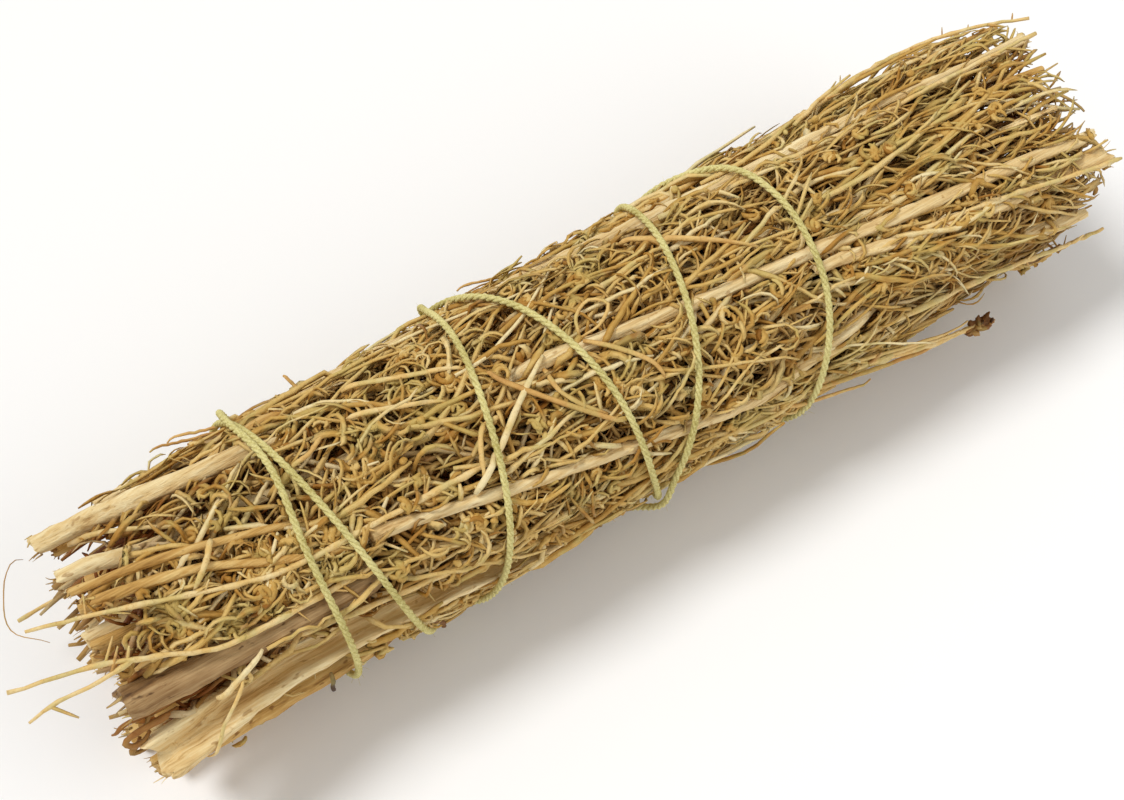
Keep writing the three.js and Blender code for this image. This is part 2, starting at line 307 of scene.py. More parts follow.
@dataclass(frozen=True)
class LeafFinish:
    """Dried leaf and bud: each with a tint of its own, darkened with painted shade deep in the bundle, and
    paler at its tip.

    Attributes:
        name: the material's name.
        darkest, brown, ochre, straw, pale: the colours from the darkest tint to the palest.
        olive: the colour of greener patches.
        tip: the colour of a strand's far end.
        deep: the painted shade, a dark brown laid on strands deep in the bundle where shadow falls.
    """

    name: str = "dried_leaf"
    darkest: Triple = rgb(140, 90, 30)
    brown: Triple = rgb(174, 126, 54)
    ochre: Triple = rgb(202, 162, 86)
    straw: Triple = rgb(224, 192, 122)
    pale: Triple = rgb(240, 222, 172)
    olive: Triple = rgb(190, 178, 108)
    tip: Triple = rgb(232, 216, 160)
    deep: Triple = rgb(124, 68, 2)

    def build(self) -> bpy.types.Material:
        """Makes the material.

        Returns:
            The material.
        """
        shader = Shader(self.name, 0.62)
        shade = shader.node("ShaderNodeAttribute", {"attribute_name": "shade"}, {}, "Color")
        split = shader.node("ShaderNodeSeparateColor", {}, {"Color": shade})
        tint, along, height = (Value(shader, output) for output in split.socket.node.outputs)
        where = shader.place()
        mottle = shader.noise(where, 420, 3)
        fine = shader.noise(where, 2600, 2)
        tints = (self.darkest, self.brown, self.ochre, self.straw, self.pale)
        colour = shader.ramp(tint + (mottle - 0.5) * 0.6, [(i / 4, colour) for i, colour in enumerate(tints)])
        green = shader.noise(where, 190, 2)
        colour = shader.mix(shader.mask(green, 0.5, 0.62) * 0.45, colour, rgba(self.olive))
        colour = shader.mix(shader.mask(along, 0.5, 1.0) * 0.3, colour, rgba(self.tip))
        colour = shader.mix(shader.mask(fine, 0.56, 0.72) * 0.35, colour, rgba(self.brown))
        # Painted shade: strands low in the bundle, by the height in the shade attribute, are mixed towards
        # the deep colour.
        colour = shader.mix(1 - shader.mask(height, 0.22, 1.04), colour, rgba(self.deep))
        shader.drive("Base Color", colour)
        shader.bump(fine + mottle, 0.00012)
        return shader.material


@dataclass(frozen=True)
class StalkFinish:
    """A stalk's outside: streaks along it and scars, with painted shade in its grooves.

    Attributes:
        name: the material's name.
        light: the colour of its ridges.
        middle: the colour between.
        groove: the colour of its scars, and of the painted shade in its grooves.
        scars: how strong the scars are.
        streak: how fine the streaks are.
        relief: how deep they are, in metres.
    """

    name: str
    light: Triple
    middle: Triple
    groove: Triple
    scars: float = 0.8
    streak: float = 1500.0
    relief: float = 0.0004

    def build(self) -> bpy.types.Material:
        """Makes the material.

        Returns:
            The material.
        """
        shader = Shader(self.name, 0.6)
        streaks = shader.noise(shader.place((0.035, 1, 1)), self.streak, 4, 0.65)
        patches = shader.noise(shader.place((0.4, 1, 1)), 160, 4)
        specks = shader.noise(shader.place((0.5, 1, 1)), 900, 2)
        # The streak noise also drives the bump, so the hollows take the groove colour as painted shade, over
        # the stalk's own streaked tone.
        stops = [(0.3, self.groove), (0.46, self.middle), (0.62, self.light)]
        colour = shader.ramp(streaks * 0.6 + patches * 0.4, stops)
        scars = shader.mask(specks, 0.62, 0.72) * self.scars
        colour = shader.mix(scars, colour, rgba(self.groove))
        shader.drive("Base Color", colour)
        shader.bump(streaks, self.relief)
        return shader.material


@dataclass(frozen=True)
class CottonFinish:
    """Undyed twisted cotton with a green cast.

    Attributes:
        name: the material's name.
        light: the colour of its fibres.
        dark: the colour between them, painted shade in the gaps, and of the string's darker patches.
    """

    name: str = "cotton_string"
    light: Triple = rgb(228, 218, 152)
    dark: Triple = rgb(178, 164, 92)

    def build(self) -> bpy.types.Material:
        """Makes the material.

        Returns:
            The material.
        """
        shader = Shader(self.name, 0.85)
        where = shader.place()
        fibres = shader.noise(where, 3200, 3)
        patches = shader.noise(where, 120, 2)
        # The fibre noise also drives the bump, so the gaps between fibres take the dark colour as painted
        # shade; the patches are the string's own uneven tone.
        colour = shader.ramp(fibres * 0.6 + patches * 0.4, [(0.35, self.dark), (0.6, self.light)])
        shader.drive("Base Color", colour)
        shader.bump(fibres, 0.00012)
        return shader.material


class Look(Enum):
    """The finishes of the bundle's pieces, by the record's slots."""

    PALE = "pale_stalk"
    BROWN = "brown_stalk"
    WEATHERED = "weathered_stalk"
    LEAF = "leafy_sprig"
    TWIG = "twig"
    STRING = "string"


class Palette:
    """The materials, each built once."""

    def __init__(self) -> None:
        """Builds them all."""
        pale = rgb(246, 227, 178), rgb(226, 195, 136), rgb(164, 118, 60)
        brown = rgb(228, 194, 126), rgb(198, 154, 84), rgb(130, 84, 34)
        weathered = rgb(190, 158, 112), rgb(140, 106, 66), rgb(76, 50, 26)
        bark = rgb(70, 46, 26), rgb(158, 108, 58), rgb(206, 160, 92), rgb(226, 190, 120)
        finishes = {
            Look.PALE: StalkFinish("pale_stalk", *pale, scars=0.6),
            Look.BROWN: StalkFinish("brown_stalk", *brown),
            Look.WEATHERED: StalkFinish("weathered_stalk", *weathered, streak=1200.0),
            Look.LEAF: LeafFinish(),
            Look.TWIG: LeafFinish("twig_bark", *bark),
            Look.STRING: CottonFinish(),
        }
        self._built = {look: finish.build() for look, finish in finishes.items()}

    def dress(self, piece: bpy.types.Object, look: Look) -> None:
        """Gives a piece its one material.

        Args:
            piece: the piece.
            look: its finish.
        """
        piece.data.materials.clear()
        piece.data.materials.append(self._built[look])


# Meshes from arrays


@dataclass
class Strands:
    """Thin closed tubes with the same number of rings, one row for each.

    Attributes:
        points: the middle of each ring, (count, rings, 3) in millimetres.
        width: half the width of each ring, (count, rings).
        thick: half the thickness of each ring.
        side: the direction that the width is measured along.
        shade: tint, place along the strand and height in the bundle, which sets its painted shade, (count,
            rings, 3).
        corners: how many corners a ring has.
        lumps: how uneven the surface is, as a share of the width.
    """

    points: Array
    width: Array
    thick: Array
    side: Array
    shade: Array
    corners: int = 4
    lumps: float = 0.0

    def surface(self, rng: np.random.Generator) -> Array:
        """The corners of every ring, (count, rings, corners, 3).

        Args:
            rng: random numbers for the lumps.

        Returns:
            The corners, in millimetres.
        """
        along = unit(np.gradient(self.points, axis=1))
        side = unit(self.side - np.sum(self.side * along, axis=-1, keepdims=True) * along)
        over = np.cross(along, side)
        turn = 2 * np.pi * np.arange(self.corners) / self.corners
        cos, sin = np.cos(turn)[:, None], np.sin(turn)[:, None]
        wide, deep = self.width[..., None, None], self.thick[..., None, None]
        offset = side[:, :, None] * wide * cos + over[:, :, None] * deep * sin
        if self.lumps:
            offset *= 1 + self.lumps * rng.uniform(-1, 1, (*offset.shape[:3], 1))
        return self.points[:, :, None] + offset


class Draft:
    """A mesh in the making, of many sets of strands joined.

    Each strand has a square patch of the bake map: its wall in the middle, and a cap below and above it.

    Attributes:
        wall: the left edge, width, lower edge and height of the wall in a patch.
        caps: how high the middles of the two caps are in a patch.
        cap_size: a cap's radius there.
    """

    wall = (0.05, 0.9, 0.12, 0.76)
    caps = (0.06, 0.94)
    cap_size = 0.045

    def __init__(self, seed: int) -> None:
        """An empty draft with its own random numbers."""
        self.rng = np.random.default_rng(seed)
        self.sets: list[Strands] = []

    def add(self, strands: Strands) -> None:
        """Takes in a set of strands."""
        if len(strands.points):
            self.sets.append(strands)

    def build(self, name: str) -> bpy.types.Object:
        """The joined mesh as one object, no lower than the floor.

        Args:
            name: the object's name.

        Returns:
            The object, in the scene, with its shade attribute and its bake map.
        """
        left, width, low, height = self.wall
        patches = math.ceil(math.sqrt(sum(len(s.points) for s in self.sets)))
        verts, shades, loops, totals, maps = [], [], [], [], []
        first_vert = first_strand = 0
        for strands in self.sets:
            count, rings = strands.width.shape
            corners = strands.corners
            surface = strands.surface(self.rng)
            verts.append(surface.reshape(-1, 3))
            shades.append(np.repeat(strands.shade.reshape(-1, 3), corners, axis=0))
            strand = np.arange(count)
            patch = np.stack([(first_strand + strand) % patches, (first_strand + strand) // patches], -1)
            base = first_vert + strand * rings * corners
            ring = np.repeat(np.arange(rings - 1), corners)
            corner = np.tile(np.arange(corners), rings - 1)
            around = np.stack([corner, corner + 1, corner + 1, corner], -1)
            length = np.stack([ring, ring, ring + 1, ring + 1], -1)
            index = length * corners + around % corners
            loops.append((base[:, None, None] + index).ravel())
            totals.append(np.full(count * len(ring), 4))
            u, v = left + width * around / corners, low + height * length / (rings - 1)
            maps.append(((patch[:, None, None] + np.stack([u, v], -1)) / patches).reshape(-1, 2))
            for end, order, middle in ((0, -1, self.caps[0]), (rings - 1, 1, self.caps[1])):
                corner = np.arange(corners)[::order]
                loops.append((base[:, None] + end * corners + corner).ravel())
                totals.append(np.full(count, corners))
                circle = 2 * np.pi * corner / corners
                rim = np.array([0.5, middle]) + self.cap_size * np.stack([np.cos(circle), np.sin(circle)], -1)
                maps.append(((patch[:, None] + rim) / patches).reshape(-1, 2))
            first_vert += count * rings * corners
            first_strand += count
        points = np.concatenate(verts)
        points[:, 2] = np.maximum(points[:, 2], FLOOR_GAP)
        return self._object(name, points * MM, *map(np.concatenate, (shades, loops, totals, maps)))

    @staticmethod
    def _object(
        name: str, verts: Array, shades: Array, loops: Array, totals: Array, maps: Array
    ) -> bpy.types.Object:
        """Fills a mesh from flat arrays and puts its object in the scene.

        Args:
            name: the object's name.
            verts: its vertices, in metres.
            shades: tint, place along the strand and height in the bundle of each vertex, the height setting
                its painted shade.
            loops: the vertex of each corner of each face.
            totals: how many corners each face has.
            maps: each corner's place on the bake map.

        Returns:
            The object.
        """
        mesh = bpy.data.meshes.new(name)
        mesh.vertices.add(len(verts))
        mesh.vertices.foreach_set("co", verts.ravel())
        mesh.loops.add(len(loops))
        mesh.loops.foreach_set("vertex_index", loops.astype(np.int32))
        mesh.polygons.add(len(totals))
        starts = np.concatenate([[0], np.cumsum(totals)[:-1]])
        mesh.polygons.foreach_set("loop_start", starts.astype(np.int32))
        mesh.polygons.foreach_set("use_smooth", np.ones(len(totals), bool))
        mesh.update(calc_edges=True)
        mesh.uv_layers.new(name="OFBake").data.foreach_set("uv", maps.ravel())
        shade = mesh.color_attributes.new("shade", "FLOAT_COLOR", "POINT")
        shade.data.foreach_set("color", np.column_stack([shades, np.ones(len(shades))]).ravel())
        mesh.validate()
        piece = bpy.data.objects.new(name, mesh)
        bpy.context.scene.collection.objects.link(piece)
        return piece


class Overlay:
    """What lies over the foliage: the stalks and the string, on a map of X and angle.

    Attributes:
        cell: the size of the map's cells, in millimetres.
        half_length: how far the map reaches each way along X.
        columns: how many cells go round the bundle.
    """

    cell = 0.25
    half_length = 100.0
    columns = 480

    def __init__(self) -> None:
        """An open map."""
        size = (int(2 * self.half_length / self.cell), self.columns)
        self.string_under = np.full(size, np.inf)
        self.stalk_under = np.full(size, np.inf)
        self.stalk_over = np.full(size, 0.0)

    def _cells(self, x: Array, angle: Array) -> tuple[Array, Array]:
        """The cells of places."""
        row = np.clip((x + self.half_length) / self.cell, 0, len(self.string_under) - 1).astype(int)
        return row, np.round(angle / 360 * self.columns).astype(int) % self.columns

    def _stamp(self, path: Run, radius: Array, under: Array, over: Array | None) -> None:
        """Lowers the under map, and raises the over map, beneath a round path.

        Args:
            path: its x, angle and distance from the axis.
            radius: its radius.
            under: the map that takes its lower side.
            over: the map that takes its upper side, or None.
        """
        x, angle, middle = path
        rows, columns = self._cells(x, angle)
        reach = int(np.max(radius) / self.cell) + 1
        for drow in range(-reach, reach + 1):
            for dcolumn in range(-reach, reach + 1):
                apart = np.hypot(drow, dcolumn) * self.cell
                inside = apart < radius
                rise = np.sqrt(np.maximum(radius**2 - apart**2, 0))
                row = np.clip(rows + drow, 0, len(under) - 1)[inside]
                column = ((columns + dcolumn) % self.columns)[inside]
                np.minimum.at(under, (row, column), (middle - rise)[inside])
                if over is not None:
                    np.maximum.at(over, (row, column), (middle + rise)[inside])

    def lay_stalk(self, path: Run, radius: Array) -> None:
        """Lays a round stalk over the foliage."""
        self._stamp(path, radius, self.stalk_under, self.stalk_over)

    def lay_string(self, path: Run, radius: Array) -> None:
        """Lays the string over everything."""
        self._stamp(path, radius, self.string_under, None)

    def fit(self, x: Array, angle: Array, reach: Array, half: Array, over: Array, slope: float) -> Array:
        """Fits strands under the string, and under or over the stalks, with no sharp folds.

        Args:
            x: places along each strand, (count, rings).
            angle: its angles there.
            reach: its distance from the axis.
            half: its half thickness.
            over: which strands cross over the stalks.
            slope: the most that a strand rises from one ring to the next.

        Returns:
            The distance from the axis.
        """
        cells = self._cells(x, angle)
        under = np.minimum(reach, self.stalk_under[cells] - half)
        above = np.maximum(reach, self.stalk_over[cells] + half * 0.8)
        for _ in range(2):
            above[:, 1:] = np.maximum(above[:, 1:], above[:, :-1] - slope)
            above[:, :-1] = np.maximum(above[:, :-1], above[:, 1:] - slope)
        fitted = np.minimum(np.where(over[:, None], above, under), self.string_under[cells] - half)
        for _ in range(2):
            fitted[:, 1:] = np.minimum(fitted[:, 1:], fitted[:, :-1] + slope)
            fitted[:, :-1] = np.minimum(fitted[:, :-1], fitted[:, 1:] + slope)
        return fitted


# Foliage


@dataclass(frozen=True)
class Habit:
    """How leaves or twigs grow over one stretch of the bundle.

    Attributes:
        length: their length in millimetres, least and most.
        aside: how far they stray from the bundle's direction, in degrees.
        turning: how far they curl, in degrees.
    """

    length: tuple[float, float]
    aside: float
    turning: float

    def mixed(self, other: Habit, share: Array, rng: np.random.Generator) -> Run:
        """Lengths, headings and turnings for strands between two habits.

        Args:
            other: the habit at share 1.
            share: where each strand stands between the two.
            rng: random numbers.

        Returns:
            Each strand's length, heading and turning.
        """
        low = self.length[0] + (other.length[0] - self.length[0]) * share
        high = self.length[1] + (other.length[1] - self.length[1]) * share
        length = low + (high - low) * rng.random(len(share)) ** 1.3
        heading = rng.normal(0, 1, len(share)) * (self.aside + (other.aside - self.aside) * share)
        turning = rng.normal(0, 1, len(share)) * (self.turning + (other.turning - self.turning) * share)
        return length, heading, np.clip(turning, -270, 270)


LEAF_TANGLE = Habit((3.2, 9.0), 62.0, 135.0)
LEAF_SPRAY = Habit((4.0, 12.0), 13.0, 44.0)
TWIG_TANGLE = Habit((9.0, 26.0), 30.0, 30.0)
TWIG_SPRAY = Habit((14.0, 42.0), 6.0, 9.0)


def spray_share(x: Array, angle: Array, rng: np.random.Generator) -> Array:
    """How straight the growth lies at a place.

    Args:
        x: places along the bundle.
        angle: angles round it.
        rng: random numbers that break the edges up.

    Returns:
        0 in the curled tangle, 1 in the straight spray.
    """
    angle = (angle + 180) % 360 - 180 + rng.normal(0, 9, len(x))
    x = x + rng.normal(0, 8, len(x))
    front = smooth(angle, -24, 2) * (1 - smooth(angle, 62, 88))
    tangled = (0.35 + 0.65 * front) * (1 - smooth(x, 10, 46))
    return np.clip(1 - tangled + rng.normal(0, 0.08, len(x)), 0, 1)


def hollow(x: Array, angle: Array) -> Array:
    """How deep the growth is sunk at a place, in millimetres, so that the bundle is lumpy.

    Args:
        x: places along the bundle.
        angle: angles round it.

    Returns:
        The depths.
    """
    turn = np.radians(angle)
    broad = np.sin(0.23 * x + 1.3 + np.sin(0.11 * x)) * np.sin(5 * turn + 0.9 + 0.07 * x)
    fine = np.sin(0.61 * x + 2.0) * np.sin(9 * turn - 0.05 * x)
    drawn_in = smooth(x, 28, 68) * smooth(np.cos(turn - 1.85), 0.55, 0.95)
    return 1.9 * smooth(broad + 0.5 * fine, 0.1, 1.0) + 2.4 * drawn_in


def cleared(x: Array, angle: Array) -> Array:
    """1 where nothing grows: below the split stalk's butt, and in most of the gap over it.

    Args:
        x: places along the bundle.
        angle: angles round it.

    Returns:
        The share of the growth that is missing.
    """
    angle = (angle + 180) % 360 - 180
    butt = 1 - smooth(x, -50, -42)
    below = smooth(angle, 86, 92) * (1 - smooth(angle, 120, 130))
    gap = smooth(angle, 56, 61) * (1 - smooth(angle, 73, 77))
    return butt * np.maximum(below, gap * 0.75)


@dataclass
class Roots:
    """Places that strands grow from.

    Attributes:
        x: places along the bundle.
        angle: angles round it.
        reach: distances from its axis.
        top: the furthest from the axis that a strand may rise.
    """

    x: Array
    angle: Array
    reach: Array
    top: Array

    def __len__(self) -> int:
        """How many there are."""
        return len(self.x)

    def repeated(self, times: int) -> Roots:
        """Each place several times over."""
        return Roots(*(np.repeat(values, times) for values in (self.x, self.angle, self.reach, self.top)))

    def scatter(self, rng: np.random.Generator, **spreads: float) -> None:
        """Moves the places at random, by a spread for each array that is named."""
        for name, spread in spreads.items():
            setattr(self, name, getattr(self, name) + rng.normal(0, spread, len(self)))


@dataclass
class Foliage:
    """Leaves, buds and side twigs, grown round a lane of the bundle.

    Attributes:
        axis: the bundle's axis.
        overlay: what lies over the foliage.
        draft: the mesh that takes them.
        butt_limit: nothing grows nearer the butts than this.
        tip_limit: nothing grows nearer the tips than this.
        dark_reach: strands this near the axis get the most painted shade.
        light_depth: how much further out the painted shade is gone.
        end_light: the least light level, against the painted shade, on strands at the bundle's two ends.
    """

    axis: Axis
    overlay: Overlay
    draft: Draft
    butt_limit: float = OUTER_BUTT_LIMIT
    tip_limit: float = 87.5
    dark_reach: float = 13.5
    light_depth: float = 6.0
    end_light: float = 0.68

    def _arc(
        self,
        start: Roots,
        length: Array,
        heading: Array,
        turning: Array,
        hook: Array,
        rings: int,
        rooted: bool = False,
    ) -> Run:
        """Curved paths that lie round the bundle.

        Args:
            start: where the paths start or have their middles.
            length: path lengths.
            heading: degrees from +X.
            turning: degrees that each path turns over its length.
            hook: from 1 for an even bend to 2 for a hooked tip.
            rings: points on each path.
            rooted: the start is the path's first point, and not its middle.

        Returns:
            x, angle and bearing, each (count, rings).
        """
        share = np.linspace(0, 1, rings)
        wander = np.cumsum(self.draft.rng.normal(0, 0.11, (len(length), rings)), axis=1)
        bearing = np.radians(heading[:, None] + turning[:, None] * share ** hook[:, None]) + wander
        step = length[:, None] / (rings - 1)
        middle = (bearing[:, 1:] + bearing[:, :-1]) / 2
        along = np.pad(np.cumsum(np.cos(middle) * step, axis=1), ((0, 0), (1, 0)))
        round_ = np.pad(np.cumsum(np.sin(middle) * step, axis=1), ((0, 0), (1, 0)))
        if not rooted:
            along = along - along.mean(axis=1, keepdims=True)
            round_ = round_ - round_.mean(axis=1, keepdims=True)
        sweep = np.degrees(round_ / start.reach[:, None])
        return start.x[:, None] + along, start.angle[:, None] + sweep, bearing

    def _tints(self, mean: float, count: int, spread: float = 0.15) -> Array:
        """Random tints round a mean, from 0, dark, to 1, pale."""
        return np.clip(self.draft.rng.normal(mean, spread, count), 0, 1)

    def _across(self, angle: Array, bearing: Array, tilt: Array) -> Array:
        """The direction of strands' width: across their path, tilted out of the bundle's surface.

        Args:
            angle: angles round the bundle.
            bearing: the paths' directions from +X, in radians.
            tilt: how far the width is tilted, in radians.

        Returns:
            Directions, (count, rings, 3).
        """
        turn = np.radians(angle)
        zero = np.zeros_like(turn)
        outward = np.stack([zero, -np.sin(turn), np.cos(turn)], -1)
        around = np.stack([zero, -np.cos(turn), -np.sin(turn)], -1)
        lengthwise = np.array([1.0, 0.0, 0.0])
        cross = -np.sin(bearing)[..., None] * lengthwise + np.cos(bearing)[..., None] * around
        return np.cos(tilt)[..., None] * cross + np.sin(tilt)[..., None] * outward

    def add(
        self,
        path: Run,
        reach: Array,
        half: tuple[Array, Array],
        tilt: Array,
        look: tuple[Array, float],
        corners: int,
        lumps: float,
        over_share: float | None = 0.05,
    ) -> None:
        """Adds strands to the draft, without those that stray past the bundle's ends.

        Args:
            path: x, angle and bearing.
            reach: distance from the axis.
            half: half the width and half the thickness.
            tilt: how far the width is tilted out of the surface.
            look: each strand's tint, and how strong its paler tip is.
            corners: corners of a ring.
            lumps: how uneven it is.
            over_share: the share that crosses over the stalks, or None to leave them all where they are.
        """
        x, angle, bearing = path
        width, thick = half
        tint, tip = look
        kept = np.ones(len(x), bool)
        if over_share is not None:
            clean_butts = 1.0 if over_share == 1.0 else smooth(x.mean(axis=1), -56, -44)
            over = self.draft.rng.random(len(x)) < over_share * clean_butts
            step = np.abs(np.diff(x, axis=1)).mean() + 0.35
            reach = self.overlay.fit(x, angle, reach, np.minimum(width, thick * 1.4), over, step)
            kept = (x.min(axis=1) > self.butt_limit) & (x.max(axis=1) < self.tip_limit)
        along = np.broadcast_to(np.linspace(0, tip, x.shape[1]), x.shape)
        # Painted shade: strands near the axis get a low height, which the leaf material turns dark; at the
        # bundle's two ends the height is raised, so they take less of it.
        ends = np.maximum(smooth(x, 70, 86), smooth(-x, 68, 84))
        height = np.maximum((reach - self.dark_reach) / self.light_depth, self.end_light * ends)
        shade = np.stack([np.broadcast_to(tint[:, None], x.shape), along, height], -1)
        side = self._across(angle, bearing, tilt)
        parts = (self.axis.place(x, angle, reach), width, thick, side, shade)
        self.draft.add(Strands(*(part[kept] for part in parts), corners, lumps))

    def leaves(self, start: Roots, rings: int = 7, bunch: int = 4) -> None:
        """Narrow curled leaves in loose bunches, with a few broad papery ones.

        Args:
            start: the bunches' roots.
            rings: points on each leaf.
            bunch: leaves in a bunch.
        """
        rng, bunches = self.draft.rng, len(start)
        spray = spray_share(start.x, start.angle, rng)
        _, heading, turning = LEAF_TANGLE.mixed(LEAF_SPRAY, spray, rng)
        start = start.repeated(bunch)
        spray, heading, turning = (np.repeat(value, bunch) for value in (spray, heading, turning))
        count = len(start)
        column = (count, 1)
        length = LEAF_TANGLE.mixed(LEAF_SPRAY, spray, rng)[0]
        heading = heading + rng.normal(0, 1, count) * (34 - 24 * spray) + 3
        turning = turning * rng.uniform(0.3, 1.5, count) + rng.normal(0, 30, count) * (1 - spray)
        start.scatter(rng, x=1.6, angle=2.4, reach=0.5)
        share = np.linspace(0, 1, rings)
        hook = rng.uniform(1, 1.7, count)
        path = self._arc(start, length, heading, np.clip(turning, -250, 250), hook, rings, rooted=True)
        lift = rng.uniform(-0.2, 1.1, column) * np.sin(np.pi * share)
        root = rng.uniform(0.4, 2.2, column) * (1 - share) ** 2
        tip = rng.uniform(-0.6, 1.5, column) * share**3
        reach = np.minimum(start.reach[:, None] + lift - root - tip, start.top[:, None])
        broad = rng.random(count) < 0.06
        half = rng.uniform(0.25, 0.48, count) * np.where(broad, 2.0, 1.0) * (1 - 0.14 * spray)
        shape = 0.62 + 0.38 * np.sin(np.pi * (0.05 + 0.85 * share))
        shape[[0, -1]] = 0.4, 0.25
        width = half[:, None] * shape * (1 + rng.normal(0, 0.1, (count, rings)))
        thick = width * np.where(broad, 0.12, rng.uniform(0.4, 0.9, count))[:, None]
        tilt = rng.normal(0, 0.4, column) + rng.normal(0, 1.0, column) * share
        tint = np.clip(np.repeat(rng.normal(0.5, 0.15, bunches), bunch) + rng.normal(0, 0.12, count), 0, 1)
        self.add(path, reach, (width, thick), tilt, (tint + 0.06 * spray, 1.0), 3, 0.0)

    def curls(self, start: Roots, rings: int = 6) -> None:
        """Tightly curled leaves in threes, which look like buds.

        Args:
            start: the middles of the threes.
            rings: points on each.
        """
        rng, start = self.draft.rng, start.repeated(3)
        count = len(start)
        column = (count, 1)
        start.scatter(rng, x=0.4, angle=1.2)
        share = np.linspace(0, 1, rings)
        length = rng.uniform(2.2, 4.4, count)
        turning = rng.uniform(120, 290, count) * rng.choice([-1, 1], count)
        heading = rng.uniform(-180, 180, count)
        path = self._arc(start, length, heading, turning, rng.uniform(1, 1.3, count), rings)
        reach = np.minimum(start.reach, start.top)[:, None] + rng.normal(0, 0.5, column) * (share - 0.5)
        shape = 0.7 + 0.3 * np.sin(np.pi * share)
        shape[[0, -1]] = 0.4, 0.4
        width = rng.uniform(0.34, 0.56, column) * shape * (1 + rng.normal(0, 0.12, (count, rings)))
        thick = width * rng.uniform(0.6, 1.0, column)
        tilt = np.broadcast_to(rng.normal(0, 0.5, column), width.shape)
        self.add(path, reach, (width, thick), tilt, (self._tints(0.46, count), 0.6), 4, 0.08)

    def heads(self, start: Roots) -> None:
        """Small wrinkled seed heads.

        Args:
            start: their middles.
        """
        rng, count = self.draft.rng, len(start)
        profile = np.array([0.35, 0.85, 1.0, 0.9, 0.62, 0.3])
        size = rng.uniform(0.45, 0.75, count)
        straight = np.zeros(count)
        heading = rng.uniform(-180, 180, count)
        path = self._arc(start, size * 2.3, heading, straight, straight + 1, len(profile))
        share = np.linspace(-0.5, 0.5, len(profile))
        reach = np.minimum(start.reach, start.top - size)[:, None] + rng.normal(0, 0.8, (count, 1)) * share
        width = size[:, None] * profile
        tilt = np.broadcast_to(rng.uniform(0, 3, (count, 1)), width.shape)
        self.add(path, reach, (width, width * 0.85), tilt, (self._tints(0.45, count), 0.4), 7, 0.2)

    def fibres(self, end: Triple, radius: float, outwards: int, count: int) -> None:
        """Frayed fibres round the rim of a broken stalk.

        Args:
            end: x, angle and distance from the axis of the stalk's end.
            radius: the stalk's radius there.
            outwards: 1 towards +X, -1 towards -X.
            count: how many.
        """
        rng = self.draft.rng
        profile = np.array([1.0, 1.0, 0.8, 0.6, 0.35])
        x, angle, reach = end
        round_ = rng.uniform(0, 2 * np.pi, count)
        rim = radius * rng.uniform(0.7, 1.02, count)
        off = np.degrees(rim * np.cos(round_) / reach)
        out = reach + rim * np.sin(round_)
        start = Roots(np.full(count, x - 0.6 * outwards), angle + off, out, out)
        length = rng.uniform(0.9, 1.9, count) * (0.5 + 0.4 * radius)
        heading = rng.normal(0, 14, count) + (0 if outwards > 0 else 180)
        turning = rng.normal(0, 30, count)
        path = self._arc(start, length, heading, turning, np.ones(count), len(profile), rooted=True)
        share = np.linspace(0, 1, len(profile))
        splay = (rng.normal(0.1, 0.4, count) * np.sin(round_))[:, None] * share**2 * length[:, None] * 0.5
        half = rng.uniform(0.16, 0.36, (count, 1)) * profile
        tilt = np.broadcast_to((np.pi / 2 - round_)[:, None], half.shape)
        look = (self._tints(0.8, count), 0.6)
        self.add(path, out[:, None] + splay, (half, half * 0.35), tilt, look, 4, 0.0, None)

    def twigs(self, start: Roots, rings: int = 12) -> None:
        """Thin side twigs, nearly along the bundle, with swollen joints.

        Args:
            start: the twigs' middles.
            rings: points on each.
        """
        rng, count = self.draft.rng, len(start)
        column = (count, 1)
        share = np.linspace(0, 1, rings)
        spray = spray_share(start.x, start.angle, rng)
        length, heading, turning = TWIG_TANGLE.mixed(TWIG_SPRAY, spray, rng)
        x, angle, bearing = self._arc(start, length, heading + 4, turning, np.ones(count), rings)
        kinks = rng.normal(0, 0.1, (2, count, rings))
        angle = angle + np.degrees(kinks[0] / start.reach[:, None])
        bow = rng.uniform(-0.5, 0.7, column) * np.sin(np.pi * share)
        root = rng.uniform(0.3, 2.4, column) * (1 - share) ** 4
        strays = (rng.random(count) < 0.05) & (start.x > -52)
        stray = np.where(strays, rng.uniform(1.5, 4.0, count), 0)[:, None] * share**2
        reach = np.minimum(start.reach[:, None] + bow - root + kinks[1], start.top[:, None]) + stray
        joints = 1 + 0.22 * (rng.random((count, rings)) < 0.18)
        half = rng.uniform(0.28, 0.6, column) * (1 - 0.45 * share) * joints
        half[:, [0, -1]] *= 0.7
        look = (self._tints(0.66, count, 0.2), 0.3)
        self.add((x, angle, bearing), reach, (half, half), np.zeros_like(x), look, 4, 0.08, 0.12)


# Stalks


